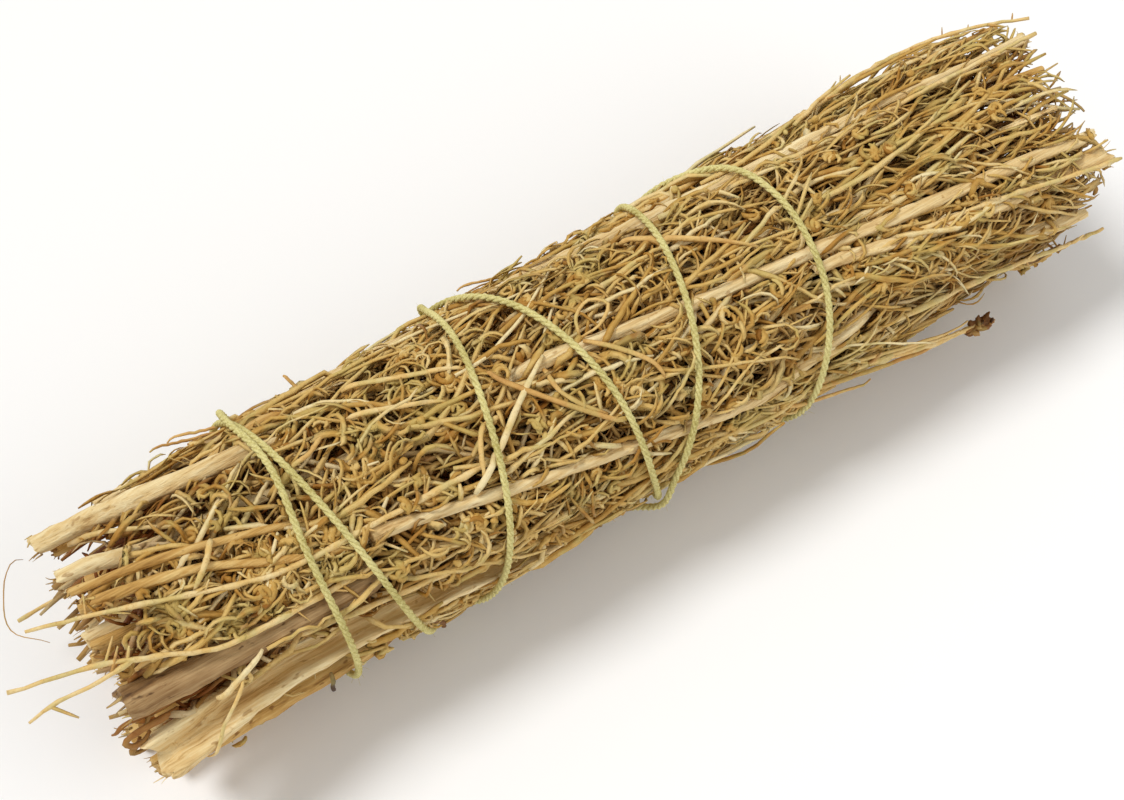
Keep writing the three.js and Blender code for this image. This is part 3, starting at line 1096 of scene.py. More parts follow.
@dataclass
class Lane:
    """The path and the room of a CAD sprig, read from its mesh.

    Attributes:
        x: stations along the bundle, in millimetres.
        angle: its angle round the axis there.
        reach: its middle's distance from the axis.
        radius: its radius.
    """

    x: Array
    angle: Array
    reach: Array
    radius: Array

    @classmethod
    def of_node(cls, node: str, axis: Axis, frame: dict, step: float = 12.0) -> Lane:
        """The lane of a CAD node.

        Args:
            node: its name.
            axis: the bundle's axis.
            frame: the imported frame.
            step: the spacing of the node's rings.

        Returns:
            The lane.
        """
        points = vertices_of(frame["nodes"][node])
        low, high = points[:, 0].min(), points[:, 0].max()
        stations = np.linspace(low, high, round((high - low) / step) + 1)
        middles, radii = [], []
        for x in stations:
            ring = points[np.abs(points[:, 0] - x) < 0.6]
            least, most = ring[:, 1:].min(axis=0), ring[:, 1:].max(axis=0)
            middles.append([x, *(least + most) / 2])
            radii.append(np.max(most - least) / 2)
        angle, reach = axis.polar(np.array(middles))
        return cls(stations, np.degrees(np.unwrap(np.radians(angle))), reach, np.array(radii))

    def at(self, x: Array) -> Run:
        """Angle, distance from the axis and radius at x."""
        angle, reach = (through(self.x, values, x) for values in (self.angle, self.reach))
        return angle, reach, np.interp(x, self.x, self.radius)


class End(Enum):
    """How a stalk ends: how deep it is hollowed, how wide its wall is left and how ragged it is."""

    TAPERED = (0.1, 0.5, 0.0)
    CUT = (0.5, 0.4, 1.2)
    HOLLOW = (2.8, 0.26, 1.6)
    TORN = (1.2, 0.4, 2.8)
    FLARED = (3.4, 0.17, 3.0)


def vertices_of(piece: bpy.types.Object) -> Array:
    """A mesh's vertices in millimetres, (count, 3).

    Args:
        piece: the mesh object.

    Returns:
        The vertices.
    """
    flat = np.empty(len(piece.data.vertices) * 3)
    piece.data.vertices.foreach_get("co", flat)
    return flat.reshape(-1, 3) / MM


@dataclass
class StalkMaker:
    """Lofts stalks ring by ring, as a long extrusion that is moved and scaled at every station.

    Attributes:
        groove_depth: how deep the lengthwise grooves are, as a share of the radius.
        knobbly: how far the surface is displaced, as a share of the radius.
        lump_size: the size of its lumps, in millimetres.
        rim_slack: how near an end, in millimetres, a vertex belongs to its rim.
        rim_passes: how often vertices of a ragged rim are picked and moved.
    """

    groove_depth: float = 0.17
    knobbly: float = 0.2
    lump_size: float = 2.4
    rim_slack: float = 0.04
    rim_passes: int = 5

    def __post_init__(self) -> None:
        """Makes the texture that roughens stalks."""
        self.lumps = bpy.data.textures.new("stalk_lumps", type="CLOUDS")
        self.lumps.noise_scale = self.lump_size * MM
        self.lumps.noise_depth = 2

    def loft(self, name: str, middles: Array, radii: Array, sides: int) -> bpy.types.Object:
        """A closed round stalk.

        Args:
            name: the object's name.
            middles: the middle of each ring, (rings, 3) in millimetres.
            radii: the radius of each ring.
            sides: corners of a ring.

        Returns:
            The stalk, still with square ends.
        """
        bpy.ops.object.select_all(action="DESELECT")
        middles = middles * MM
        bpy.ops.mesh.primitive_circle_add(
            vertices=sides,
            radius=radii[0] * MM,
            fill_type="NGON",
            location=middles[0],
            rotation=(0, math.pi / 2, 0),
        )
        stalk = bpy.context.object
        stalk.name = stalk.data.name = name
        bpy.ops.object.transform_apply(location=True, rotation=True, scale=True)
        bpy.ops.object.mode_set(mode="EDIT")
        bpy.ops.mesh.select_mode(type="FACE")
        bpy.ops.mesh.select_all(action="SELECT")
        for here, there, now, then in zip(middles, middles[1:], radii, radii[1:]):
            bpy.ops.mesh.extrude_region_move(TRANSFORM_OT_translate={"value": tuple(there - here)})
            grow = then / now
            bpy.ops.transform.resize(value=(1, grow, grow), center_override=tuple(there))
        bpy.ops.mesh.select_all(action="SELECT")
        bpy.ops.mesh.normals_make_consistent(inside=False)
        bpy.ops.object.mode_set(mode="OBJECT")
        return stalk

    def select(self, stalk: bpy.types.Object, chosen: Array) -> None:
        """Selects vertices by a mask, and opens the stalk for editing.

        Args:
            stalk: the stalk.
            chosen: which of its vertices are selected.
        """
        bpy.ops.object.mode_set(mode="EDIT")
        bpy.ops.mesh.select_mode(type="VERT")
        bpy.ops.mesh.select_all(action="DESELECT")
        bpy.ops.object.mode_set(mode="OBJECT")
        stalk.data.vertices.foreach_set("select", chosen)
        bpy.ops.object.mode_set(mode="EDIT")

    def bearing(self, stalk: bpy.types.Object, middles: Array) -> Array:
        """Each vertex's direction from the stalk's middle, in degrees from -Y towards +Z.

        Args:
            stalk: the stalk.
            middles: the middles of its rings.

        Returns:
            The directions.
        """
        points = vertices_of(stalk)
        x, across, up = points.T
        across, up = (v - np.interp(x, middles[:, 0], middles[:, i]) for i, v in ((1, across), (2, up)))
        return np.degrees(np.arctan2(up, -across))

    def groove(self, stalk: bpy.types.Object, middles: Array, radius: float, sides: int, phase: int) -> None:
        """Presses lengthwise grooves into a stalk.

        Args:
            stalk: the stalk.
            middles: the middles of its rings.
            radius: its radius in millimetres.
            sides: corners of a ring.
            phase: which of every three corners is pressed in.
        """
        corner = np.round(self.bearing(stalk, middles) / 360 * sides).astype(int)
        self.select(stalk, corner % 3 == phase)
        bpy.ops.transform.shrink_fatten(value=-self.groove_depth * radius * MM)
        bpy.ops.object.mode_set(mode="OBJECT")

    def cleave(
        self, stalk: bpy.types.Object, middles: Array, towards: float, depth: float, sides: int
    ) -> None:
        """Opens a long V-shaped split in a stalk.

        Args:
            stalk: the stalk.
            middles: the middles of its rings.
            towards: the side that it opens to, in degrees from -Y towards +Z.
            depth: how deep it is in millimetres.
            sides: corners of a ring.
        """
        pitch = 360 / sides
        turn = math.radians(towards)
        apart = (self.bearing(stalk, middles) - towards + 180) % 360 - 180
        for reach, share in ((0.7, 0.5), (1.6, 0.28), (2.6, 0.22)):
            self.select(stalk, np.abs(apart) < reach * pitch)
            move = (0, math.cos(turn) * depth * share * MM, -math.sin(turn) * depth * share * MM)
            bpy.ops.transform.translate(value=move)
            bpy.ops.object.mode_set(mode="OBJECT")

    def end(
        self, stalk: bpy.types.Object, x: float, inward: int, radius: float, kind: End, seed: int
    ) -> None:
        """Shapes an end of a stalk.

        Args:
            stalk: the stalk.
            x: where the end is, in millimetres.
            inward: 1 at the butt and -1 at the tip.
            radius: the stalk's radius there.
            kind: how it ends.
            seed: for the roughness of its rim.
        """
        depth, wall, ragged = kind.value
        rng = np.random.default_rng(seed)
        self.select(stalk, np.abs(vertices_of(stalk)[:, 0] - x) < self.rim_slack)
        bpy.ops.mesh.select_mode(type="FACE")
        bpy.ops.mesh.inset(thickness=wall * radius * MM, use_boundary=True)
        bpy.ops.mesh.extrude_region_move(TRANSFORM_OT_translate={"value": (depth * inward * MM, 0, 0)})
        bpy.ops.object.mode_set(mode="OBJECT")
        rim = np.abs(vertices_of(stalk)[:, 0] - x) < self.rim_slack
        for _ in range(self.rim_passes if ragged else 0):
            self.select(stalk, rim & (rng.random(len(rim)) < 0.25))
            slip = rng.uniform(-0.5, 1.0) * ragged * min(radius, 1.6) / 1.6
            bpy.ops.transform.translate(value=(-inward * slip * MM, 0, 0))
            bpy.ops.transform.vertex_random(offset=0.12 * ragged * MM, seed=int(rng.integers(1, 999)))
            bpy.ops.object.mode_set(mode="OBJECT")

    def finish(self, stalk: bpy.types.Object, radius: float) -> None:
        """Rounds and roughens a stalk with modifiers, and applies them.

        Args:
            stalk: the stalk.
            radius: its greatest radius in millimetres.
        """
        bpy.ops.object.select_all(action="DESELECT")
        stalk.select_set(True)
        bpy.context.view_layer.objects.active = stalk
        rounded = stalk.modifiers.new("rounded", "SUBSURF")
        rounded.levels = rounded.render_levels = 1
        rough = stalk.modifiers.new("rough", "DISPLACE")
        rough.texture = self.lumps
        rough.texture_coords = "LOCAL"
        rough.strength = self.knobbly * min(radius, 2.4) * 2 * MM
        for modifier in (rounded, rough):
            bpy.ops.object.modifier_apply(modifier=modifier.name)
        bpy.ops.object.shade_smooth_by_angle(angle=math.radians(50))


@dataclass(frozen=True)
class Growth:
    """How much grows on a sprig, and where.

    Attributes:
        bunches: how many bunches of leaves at most.
        twigs: how many side twigs.
        curls: how many threes of tight curls.
        heads: how many seed heads.
        butt_fibres: how many fibres its butt frays into.
        spread: how far round the bundle they lie, in degrees either way.
        butt_limit: nothing grows nearer the butts than this.
    """

    bunches: int
    twigs: int
    curls: int
    heads: int
    butt_fibres: int
    spread: float
    butt_limit: float


OUTER_GROWTH = Growth(165, 64, 38, 5, 6, 14.0, OUTER_BUTT_LIMIT)
INNER_GROWTH = Growth(37, 18, 4, 2, 4, 24.0, -84.0)
TIP_FIBRES = 12

# A stem's corners round it, and how far apart its rings are in millimetres.
SPLIT_SIDES, OUTER_SIDES, INNER_SIDES = 21, 15, 9
OUTER_SPACING, INNER_SPACING = 3.4, 7.0
END_RING = 0.25
LEAST_RADIUS = 0.4


@dataclass
class Sprig:
    """A sprig or stalk: a lofted stem, and the leaves, buds and side twigs that grow on it.

    Attributes:
        node: the CAD node that it stands for.
        look: its stem's finish.
        leafy: where it is leafy, from and to along X.
        lead: (x, angle) places that its bare stretch passes, where it leaves its lane.
        butt: how its butt ends.
        tip: how its tip ends.
        bare_at_tip: the stem is as thick at its tip as its lane.
        split: how deep a long split runs along it, in millimetres, and the side that it opens to.
        slim: its thickness at the butt, in the middle and at the tip, as shares of its lane's.
        trim: how much shorter its butt is than its lane, in millimetres.
        sunk: how far its butt is sunk into the bundle, in millimetres.
        inner_radius: a lane that stays nearer the axis than this is inside the bundle.
    """

    node: str
    look: Look
    leafy: tuple[float, float] | None
    lead: tuple[tuple[float, float], ...] = ()
    butt: End = End.CUT
    tip: End = End.TAPERED
    bare_at_tip: bool = False
    split: tuple[float, float] | None = None
    slim: tuple[float, float, float] = (1.0, 1.0, 1.0)
    trim: float = 0.0
    sunk: float = 0.0
    inner_radius: float = 15.5

    def prepare(self, axis: Axis, frame: dict) -> None:
        """Works out the stem's path and radius from the lane.

        Args:
            axis: the bundle's axis.
            frame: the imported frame.
        """
        self.axis = axis
        self.lane = Lane.of_node(self.node, axis, frame)
        first, last = self.lane.x[0] + self.trim, self.lane.x[-1]
        self.seed = sum(ord(c) * (i + 3) for i, c in enumerate(self.node))
        self.outer = self.lane.reach.max() > self.inner_radius
        self.sides = SPLIT_SIDES if self.split else OUTER_SIDES if self.outer else INNER_SIDES
        rng = np.random.default_rng(self.seed)
        count = max(round((last - first) / (OUTER_SPACING if self.outer else INNER_SPACING)), 4)
        x = np.linspace(first, last, count)
        x[1:-1] += rng.uniform(-0.8, 0.8, count - 2)
        x = np.concatenate([[x[0], x[0] + END_RING], x[1:-1], [x[-1] - END_RING, x[-1]]])
        angle, reach, radius = self.lane.at(x)
        if self.lead:
            places = np.array(self.lead)
            led = through(places[:, 0], places[:, 1], x)
            start, stop = places[0, 0], places[-1, 0]
            angle = angle + (led - angle) * smooth(x, start - 6, start) * (1 - smooth(x, stop, stop + 22))
        self.bare = self._bareness(x)
        slim = through(np.array([-62, -24, 20, 60]), np.array(self.slim)[[0, 1, 1, 2]], x)
        stem = self._stem_radius(x, radius * slim, first, last)
        if self.tip is End.FLARED:
            stem = stem * (1 + 0.42 * smooth(x, last - 8, last))
        knots = 1 + 0.16 * (rng.random(len(x)) < 0.14) + rng.normal(0, 0.03, len(x))
        knots[:2], knots[-2:] = knots[0], knots[-1]
        self.x, self.angle, self.radius = x, angle, np.maximum(stem, LEAST_RADIUS) * knots
        proud = np.where(self.outer & (reach < REACH), np.maximum(REACH - self.radius - reach, 0), 0)
        wander = through(np.linspace(first, last, 12), rng.normal(0, 0.3, 12), x)
        self.reach = reach + proud * self.bare + wander * 0.7 - 0.2 - self.sunk * (1 - smooth(x, -62, -44))
        sway = through(np.linspace(first, last, 9), rng.normal(0, 0.35, 9), x)
        self.angle = self.angle + np.degrees(sway / reach)
        if self.outer:
            self.reach = self.reach - (1 - self.bare) * 0.8

    def _bareness(self, x: Array) -> Array:
        """1 where the stem shows, 0 where leaves hide it.

        Args:
            x: stations.

        Returns:
            How bare the stem is there.
        """
        if not self.leafy:
            return np.ones_like(x)
        start, stop = self.leafy
        return 1 - smooth(x, start - 8, start) * (1 - smooth(x, stop, stop + 8))

    def _stem_radius(self, x: Array, room: Array, first: float, last: float) -> Array:
        """The stem's radius within the lane's room.

        Args:
            x: stations.
            room: the lane's radius there.
            first: where the stem starts.
            last: where it ends.

        Returns:
            The radius.
        """
        if self.bare_at_tip and not self.leafy:
            return room
        tip = room[-1] if self.bare_at_tip else 0.5
        along = (x - first) / (last - first)
        thin = np.minimum(room[0] + (tip - room[0]) * along, 1.1)
        stem = room * self.bare + thin * (1 - self.bare)
        if not self.bare_at_tip:
            stem = np.minimum(stem, room[0] + (tip - room[0]) * smooth(x, -70, last))
        return stem

    def lay(self, overlay: Overlay) -> None:
        """Lays the bare stretches over the foliage.

        Args:
            overlay: what lies over the foliage.
        """
        x = np.arange(self.x[0], self.x[-1], 0.2)
        bare = np.interp(x, self.x, self.bare) > 0.5
        if self.outer and bare.any():
            x = x[bare]
            angle, reach, radius = (np.interp(x, self.x, v) for v in (self.angle, self.reach, self.radius))
            overlay.lay_stalk((x, angle, reach), radius)

    def stem(self, maker: StalkMaker) -> bpy.types.Object:
        """Makes the stem.

        Args:
            maker: what lofts it.

        Returns:
            The stem.
        """
        middles = self.axis.place(self.x, self.angle, self.reach)
        middles[:, 2] = np.maximum(middles[:, 2], self.radius + 0.15)
        stalk = maker.loft(f"{self.node}_stem", middles, self.radius, self.sides)
        radius = float(self.radius.max())
        if self.split:
            maker.cleave(stalk, middles, self.split[1], self.split[0], self.sides)
        elif radius > 0.9:
            maker.groove(stalk, middles, radius, self.sides, self.seed % 3)
        maker.end(stalk, self.x[0], 1, self.radius[0], self.butt, self.seed)
        maker.end(stalk, self.x[-1], -1, self.radius[-1], self.tip, self.seed + 1)
        maker.finish(stalk, radius)
        return stalk

    def _starts(self, rng: np.random.Generator, count: int, spread: float, deepest: float) -> Roots:
        """Random places round the lane, thinner towards the bundle's ends.

        Args:
            rng: random numbers.
            count: how many places at most.
            spread: how far round the bundle they lie, in degrees either way.
            deepest: how far in they lie, in millimetres.

        Returns:
            The places.
        """
        low, high = self.lane.x[0] + 2, self.lane.x[-1]
        x = rng.uniform(low, high, count * 2)
        if not self.outer:
            at_butt = rng.random(len(x)) < 0.35
            ends = np.where(at_butt, rng.uniform(low, low + 22, len(x)), rng.uniform(48, high, len(x)))
            x = np.where(rng.random(len(x)) < 0.75, ends, x)
        angle = rng.uniform(-spread, spread, len(x)) + self.lane.at(x)[0]
        keep = 0.3 + 0.7 * smooth(x, -78, -56) * (1 - smooth(x, 70, 90))
        share = 0.6
        if self.leafy:
            inside = smooth(x, self.leafy[0] - 6, self.leafy[0] + 3) * (1 - smooth(x, self.leafy[1] + 4, 90))
            share = 0.5 + 0.5 * inside
        keep = keep * (1 - cleared(x, angle)) if self.outer else 0.9
        kept = rng.random(len(x)) < keep * share
        x, angle = x[kept][:count], angle[kept][:count]
        _, reach, radius = self.lane.at(x)
        depth = deepest * rng.random(len(x)) ** 1.7 + hollow(x, angle) * self.outer
        top = np.maximum(reach + radius, REACH) if self.outer else reach + radius
        return Roots(x, angle, top - depth, top + 0.7)

    def foliage(self, overlay: Overlay) -> bpy.types.Object:
        """The leaves, buds and side twigs, as one mesh.

        Args:
            overlay: what lies over them.

        Returns:
            The object.
        """
        draft = Draft(self.seed)
        growth = OUTER_GROWTH if self.outer else INNER_GROWTH
        grower = Foliage(self.axis, overlay, draft, growth.butt_limit)
        if not self.split:
            butt = self.x[0], self.angle[0], self.reach[0]
            grower.fibres(butt, self.radius[0], -1, growth.butt_fibres)
        if self.tip in (End.TORN, End.FLARED):
            tip = self.x[-1], self.angle[-1], self.reach[-1]
            grower.fibres(tip, self.radius[-1], 1, TIP_FIBRES)
        kinds = (
            (grower.leaves, growth.bunches, 4.6),
            (grower.twigs, growth.twigs, 3.0),
            (grower.curls, growth.curls, 2.6),
            (grower.heads, growth.heads, 2.6),
        )
        for grow, count, deepest in kinds:
            grow(self._starts(draft.rng, count, growth.spread, deepest))
        return draft.build(f"{self.node}_leaves")


OUTER_SPRIGS = (
    Sprig("top_edge_stalk", Look.PALE, None, tip=End.TORN, bare_at_tip=True, slim=(1.0, 0.85, 0.55)),
    Sprig("crown_sprig", Look.BROWN, (-36, 70), slim=(0.5, 1.0, 1.0), sunk=3.5),
    Sprig(
        "upper_butt_sprig",
        Look.PALE,
        (-42, 68),
        lead=((-88, -54), (-76, -49), (-66, -40), (-54, -31), (-42, -24)),
        butt=End.HOLLOW,
        slim=(0.74, 1.0, 1.0),
        trim=1.0,
    ),
    Sprig(
        "long_pale_sprig",
        Look.PALE,
        (-68, -16),
        butt=End.TORN,
        tip=End.TORN,
        bare_at_tip=True,
        slim=(0.7, 0.75, 0.62),
    ),
    Sprig(
        "slim_front_sprig",
        Look.BROWN,
        (-44, 22),
        lead=((-79, -3), (-57, 10), (-44, 19)),
        slim=(0.6, 1.0, 1.0),
    ),
    Sprig(
        "torn_hollow_stalk",
        Look.PALE,
        None,
        lead=((34, 33), (52, 43), (65, 48), (87, 58)),
        tip=End.FLARED,
        bare_at_tip=True,
        slim=(0.8, 0.8, 0.75),
    ),
    Sprig(
        "yellow_stem",
        Look.BROWN,
        None,
        lead=((-77, 5), (-65, 14), (-52, 30), (-44, 38)),
        bare_at_tip=True,
        slim=(0.7, 0.8, 0.8),
    ),
    Sprig(
        "centre_stalk",
        Look.PALE,
        (44, 70),
        lead=((-41, 38), (-31, 45), (-17, 54), (-2, 64), (8, 71), (20, 80)),
        bare_at_tip=True,
        slim=(0.85, 0.72, 0.8),
    ),
    Sprig(
        "weathered_butt_sprig",
        Look.WEATHERED,
        (-38, 66),
        lead=((-80, 51), (-70, 55), (-61, 57), (-48, 59)),
        butt=End.TORN,
    ),
    Sprig("lower_leafy_sprig", Look.BROWN, (-66, 68), slim=(0.5, 1.0, 1.0), sunk=4.5),
    Sprig(
        "split_grooved_stalk",
        Look.PALE,
        None,
        lead=((-82, 84), (-66, 82), (-51, 82), (-36, 90)),
        butt=End.TORN,
        bare_at_tip=True,
        split=(4.2, 66.0),
        trim=4.5,
        slim=(1.1, 1.0, 1.0),
    ),
    Sprig("low_tip_sprig", Look.BROWN, (35, 70), slim=(0.45, 0.8, 0.8), sunk=4.0),
    Sprig("underside_sprig_1", Look.BROWN, (-38, 78)),
    Sprig("underside_stalk", Look.BROWN, None, tip=End.TORN, bare_at_tip=True),
    Sprig("underside_sprig_2", Look.BROWN, (-42, 78)),
    Sprig("rest_stalk", Look.BROWN, None, butt=End.HOLLOW, bare_at_tip=True),
    Sprig("rest_sprig_1", Look.BROWN, (-70, 64)),
    Sprig("rest_sprig_2", Look.BROWN, (-72, 60)),
    Sprig("back_pale_stalk", Look.PALE, None, tip=End.CUT, bare_at_tip=True, slim=(0.9, 0.9, 0.9)),
    Sprig("back_sprig_1", Look.BROWN, (-30, 70)),
    Sprig("back_sprig_2", Look.BROWN, (-50, 66), slim=(0.7, 1.0, 1.0)),
)


# Loose twigs and the string


def shades(tint: float, along: Array, height: float) -> Array:
    """The shade of one strand's rings, (1, rings, 3), whose height sets how much painted shade it takes."""
    return np.stack([np.full(len(along), tint), along, np.full(len(along), height)], -1)[None]


@dataclass
class LooseTwig:
    """A thin loose twig, with its fork and side spurs.

    Attributes:
        node: the CAD node that it stands for.
        valley: the valley of the outer ring that it lies in.
        path: (x, angle off the valley, height over it) places, from its butt.
        fork: the places of its branch, if it has one.
        bud: it ends in a dark flower head.
        valley_reach: how far from the axis the valley is.
        radius: its radius in millimetres.
    """

    node: str
    valley: int
    path: tuple[Triple, ...]
    fork: tuple[Triple, ...] = ()
    bud: bool = False
    valley_reach: float = 18.9
    radius: float = 0.46

    def _run(self, places: tuple[Triple, ...], spacing: float) -> Array:
        """A smooth run of points through places.

        Args:
            places: (x, angle off the valley, height over it) places.
            spacing: how far apart the points are, in millimetres.

        Returns:
            X, angle and distance from the axis of each point, (count, 3).
        """
        stops = np.array(places)
        share = np.linspace(0, 1, len(stops))
        count = max(int(abs(stops[-1, 0] - stops[0, 0]) / spacing), 6)
        fine = np.linspace(0, 1, count)
        x, aside, rise = (through(share, stops[:, i], fine) for i in range(3))
        lane = OUTER_LANE_START + OUTER_LANE_STEP * (self.valley + 0.5)
        return np.stack([x, lane + aside + TWIST_PER_MM * x, self.valley_reach + rise], -1)

    def build(self, axis: Axis) -> bpy.types.Object:
        """Makes the twig as one mesh.

        Args:
            axis: the bundle's axis.

        Returns:
            The twig.
        """
        draft = Draft(sum(map(ord, self.node)))
        rng = draft.rng
        runs = [(self._run(self.path, 1.6), self.radius * (1.35 if self.bud else 1.0))]
        if self.fork:
            runs.append((self._run(self.fork, 1.2), self.radius * 0.75))
        for run, radius in runs:
            self._strand(draft, axis, run, radius)
            spurs = rng.integers(2, len(run) - 2, max(len(run) // 5, 2))
            for i in spurs:
                self._spur(draft, axis, run[i])
        if self.bud:
            self._head(draft, axis, runs[0][0])
        return draft.build(self.node + "_strand")

    def _strand(self, draft: Draft, axis: Axis, run: Array, radius: float) -> None:
        """Adds a tapered, slightly kinked strand along a run.

        Args:
            draft: the mesh that takes it.
            axis: the bundle's axis.
            run: the run's points.
            radius: its radius in millimetres.
        """
        rng, count = draft.rng, len(run)
        kinks = rng.normal(0, 0.05, (2, count))
        points = axis.place(run[:, 0], run[:, 1], run[:, 2] + kinks[0])[None]
        points[0, :, 1] += kinks[1]
        middle = abs(run[-1, 0]) < abs(run[0, 0])
        taper = np.linspace(0.6, 1, count) if middle else np.linspace(1, 0.6, count)
        half = radius * taper * (1 + 0.35 * (rng.random(count) < 0.25))
        half[[0, -1]] *= 0.85
        side = np.broadcast_to(np.array([0.0, 0.3, 1.0]), points.shape)
        shade = shades(0.8, np.full(count, 0.2), 1.0)
        draft.add(Strands(points, half[None], half[None], side, shade, 6, lumps=0.08))

    def _spur(self, draft: Draft, axis: Axis, root: Array) -> None:
        """Adds a short leaf or snag to a twig.

        Args:
            draft: the mesh that takes it.
            axis: the bundle's axis.
            root: the point of the run that it grows from.
        """
        rng = draft.rng
        profile = np.array([1, 1, 0.9, 0.8, 0.5])
        share = np.linspace(0, 1, len(profile))
        length, side = rng.uniform(1.0, 3.2), rng.choice([-1, 1])
        x = root[0] + share * length * 0.8
        angle = root[1] + side * share * rng.uniform(2, 9)
        reach = root[2] + share * rng.uniform(-0.6, 1.0)
        points = axis.place(x, angle, reach)[None]
        half = (rng.uniform(0.16, 0.26) * profile)[None]
        across = np.broadcast_to(np.array([0.0, 1.0, 0.4]), points.shape)
        shade = shades(rng.uniform(0.4, 0.8), share, 1.0)
        draft.add(Strands(points, half, half * 0.6, across, shade, 4))

    def _head(self, draft: Draft, axis: Axis, run: Array) -> None:
        """Adds a dark flower head, of ragged lumps, at the tip.

        Args:
            draft: the mesh that takes it.
            axis: the bundle's axis.
            run: the twig's points.
        """
        profile = np.array([0.5, 0.85, 1.0, 0.85, 0.6, 0.2])
        share = np.linspace(-0.5, 0.5, len(profile))
        tip = axis.place(*run[-1])
        ahead = unit(tip - axis.place(*run[-3]))
        rng = draft.rng
        for step in np.linspace(-1.6, 3.6, 22):
            size = 0.42 + 0.5 * math.sin(math.pi * (step + 2.2) / 6.6) * rng.uniform(0.6, 1.1)
            middle = tip + ahead * step + rng.normal(0, 0.3, 3)
            lean = unit(ahead + rng.normal(0, 0.4, 3))
            points = (middle + share[:, None] * lean * size * rng.uniform(2.4, 4.2))[None]
            half = (size * profile)[None]
            side = np.broadcast_to(rng.normal(0, 1, 3), points.shape)
            shade = shades(rng.uniform(0, 0.42), 0 * share, 0.9)
            draft.add(Strands(points, half, half * 0.55, side, shade, 6, lumps=0.24))


LOOSE_TWIGS = (
    LooseTwig(
        "forked_twig",
        5,
        ((-91.5, -10, 0.2), (-80, -6, 1.1), (-73, -0.5, 1.2), (-65, 6, 1.0), (-54, 5, 0.2), (-44, 2, 0)),
        fork=((-76, -3, 1.2), (-82, 0, 1.0), (-87, 1, 0.2), (-91, 4, 0.4)),
    ),
    LooseTwig(
        "long_front_twig",
        4,
        ((-86, -9, 0.7), (-73, -1.5, 1.1), (-55, 8, 1.0), (-40, 5, 0.3), (-20, 0, 0)),
    ),
    LooseTwig("butt_end_twig", 6, ((-81, 2, -3.4), (-66, 1, -2.4), (-40, 0, 0), (-8, 0, 0))),
    LooseTwig(
        "bud_twig",
        6,
        ((10, 0, 0), (30, 0, 0), (42, 3, 1.2), (54, 8, 3.0), (62, 11.5, 3.9)),
        fork=((34, -3, 0.6), (46, 1, 1.8), (55, 6, 2.9), (61, 10, 3.8)),
        bud=True,
    ),
    LooseTwig("crown_twig", 0, ((20, 0, 0), (50, 0, 0), (68, -3, 0.7), (87, -6, 1.5))),
    LooseTwig(
        "top_spray_twig",
        17,
        ((18, 0, 0), (40, -3, 0.4), (56, -12, 1.6), (68, -18, 2.4), (79, -10, 2.2), (89, 3, 1.4)),
        fork=((48, -2, 0.9), (56, -12, 2.2), (62, -17, 2.9)),
    ),
    LooseTwig("front_tip_twig", 3, ((40, 0, 0), (64, 0, 0.1), (78, 2, 1.2), (88.3, 3, 1.6))),
    LooseTwig("low_tip_twig", 5, ((30, 0, 0), (60, 0, 0), (76, 3, 0.9), (87, 6, 1.3))),
    LooseTwig("back_tip_twig", 14, ((24, 0, 0), (60, 0, 0), (76, -3, 1.0), (87, -5, 1.4))),
    LooseTwig("back_butt_twig", 15, ((-87, 4, 1.0), (-70, 1, 0.5), (-50, 0, 0), (-24, 0, 0))),
)


@dataclass(frozen=True)
class Crossing:
    """A twig, leaf or hair that lies across the bundle, over its neighbours.

    Attributes:
        half: half its thickness in millimetres.
        tint: from 0, dark, to 1, pale.
        places: (x, angle) places along it.
        reach: its distance from the axis.
        free: it stands clear, and isn't fitted under the string.
        rise: how much further out its far end is.
    """

    half: float
    tint: float
    places: tuple[tuple[float, float], ...]
    reach: float = 20.3
    free: bool = False
    rise: float = 0.0

    def grow(self, grower: Foliage, rings: int = 16) -> None:
        """Adds it to the grower's draft.

        Args:
            grower: what adds it.
            rings: points along it.
        """
        rng = grower.draft.rng
        stops, fine = np.array(self.places, float), np.linspace(0, 1, rings)
        share = np.linspace(0, 1, len(stops))
        x, angle = (through(share, stops[:, i], fine)[None] for i in (0, 1))
        bearing = np.arctan2(np.radians(np.gradient(angle, axis=1)) * self.reach, np.gradient(x, axis=1))
        taper = np.interp(fine, [0, 0.08, 0.8, 1], [0.7, 1, 0.9, 0.5])
        half = self.half * (1 + rng.normal(0, 0.06, rings)) * taper
        reach = self.reach + rng.normal(0, 0.04, rings) - 0.8 * (1 - np.sin(np.pi * fine)) ** 4
        reach = (reach + self.rise * fine**1.5)[None]
        tilt = rng.normal(0, 0.3) + rng.normal(0, 0.4) * fine[None]
        look = (np.array([self.tint]), 0.3)
        fitted = None if self.free else 1.0
        grower.add((x, angle, bearing), reach, (half[None], half[None] * 0.75), tilt, look, 6, 0.06, fitted)


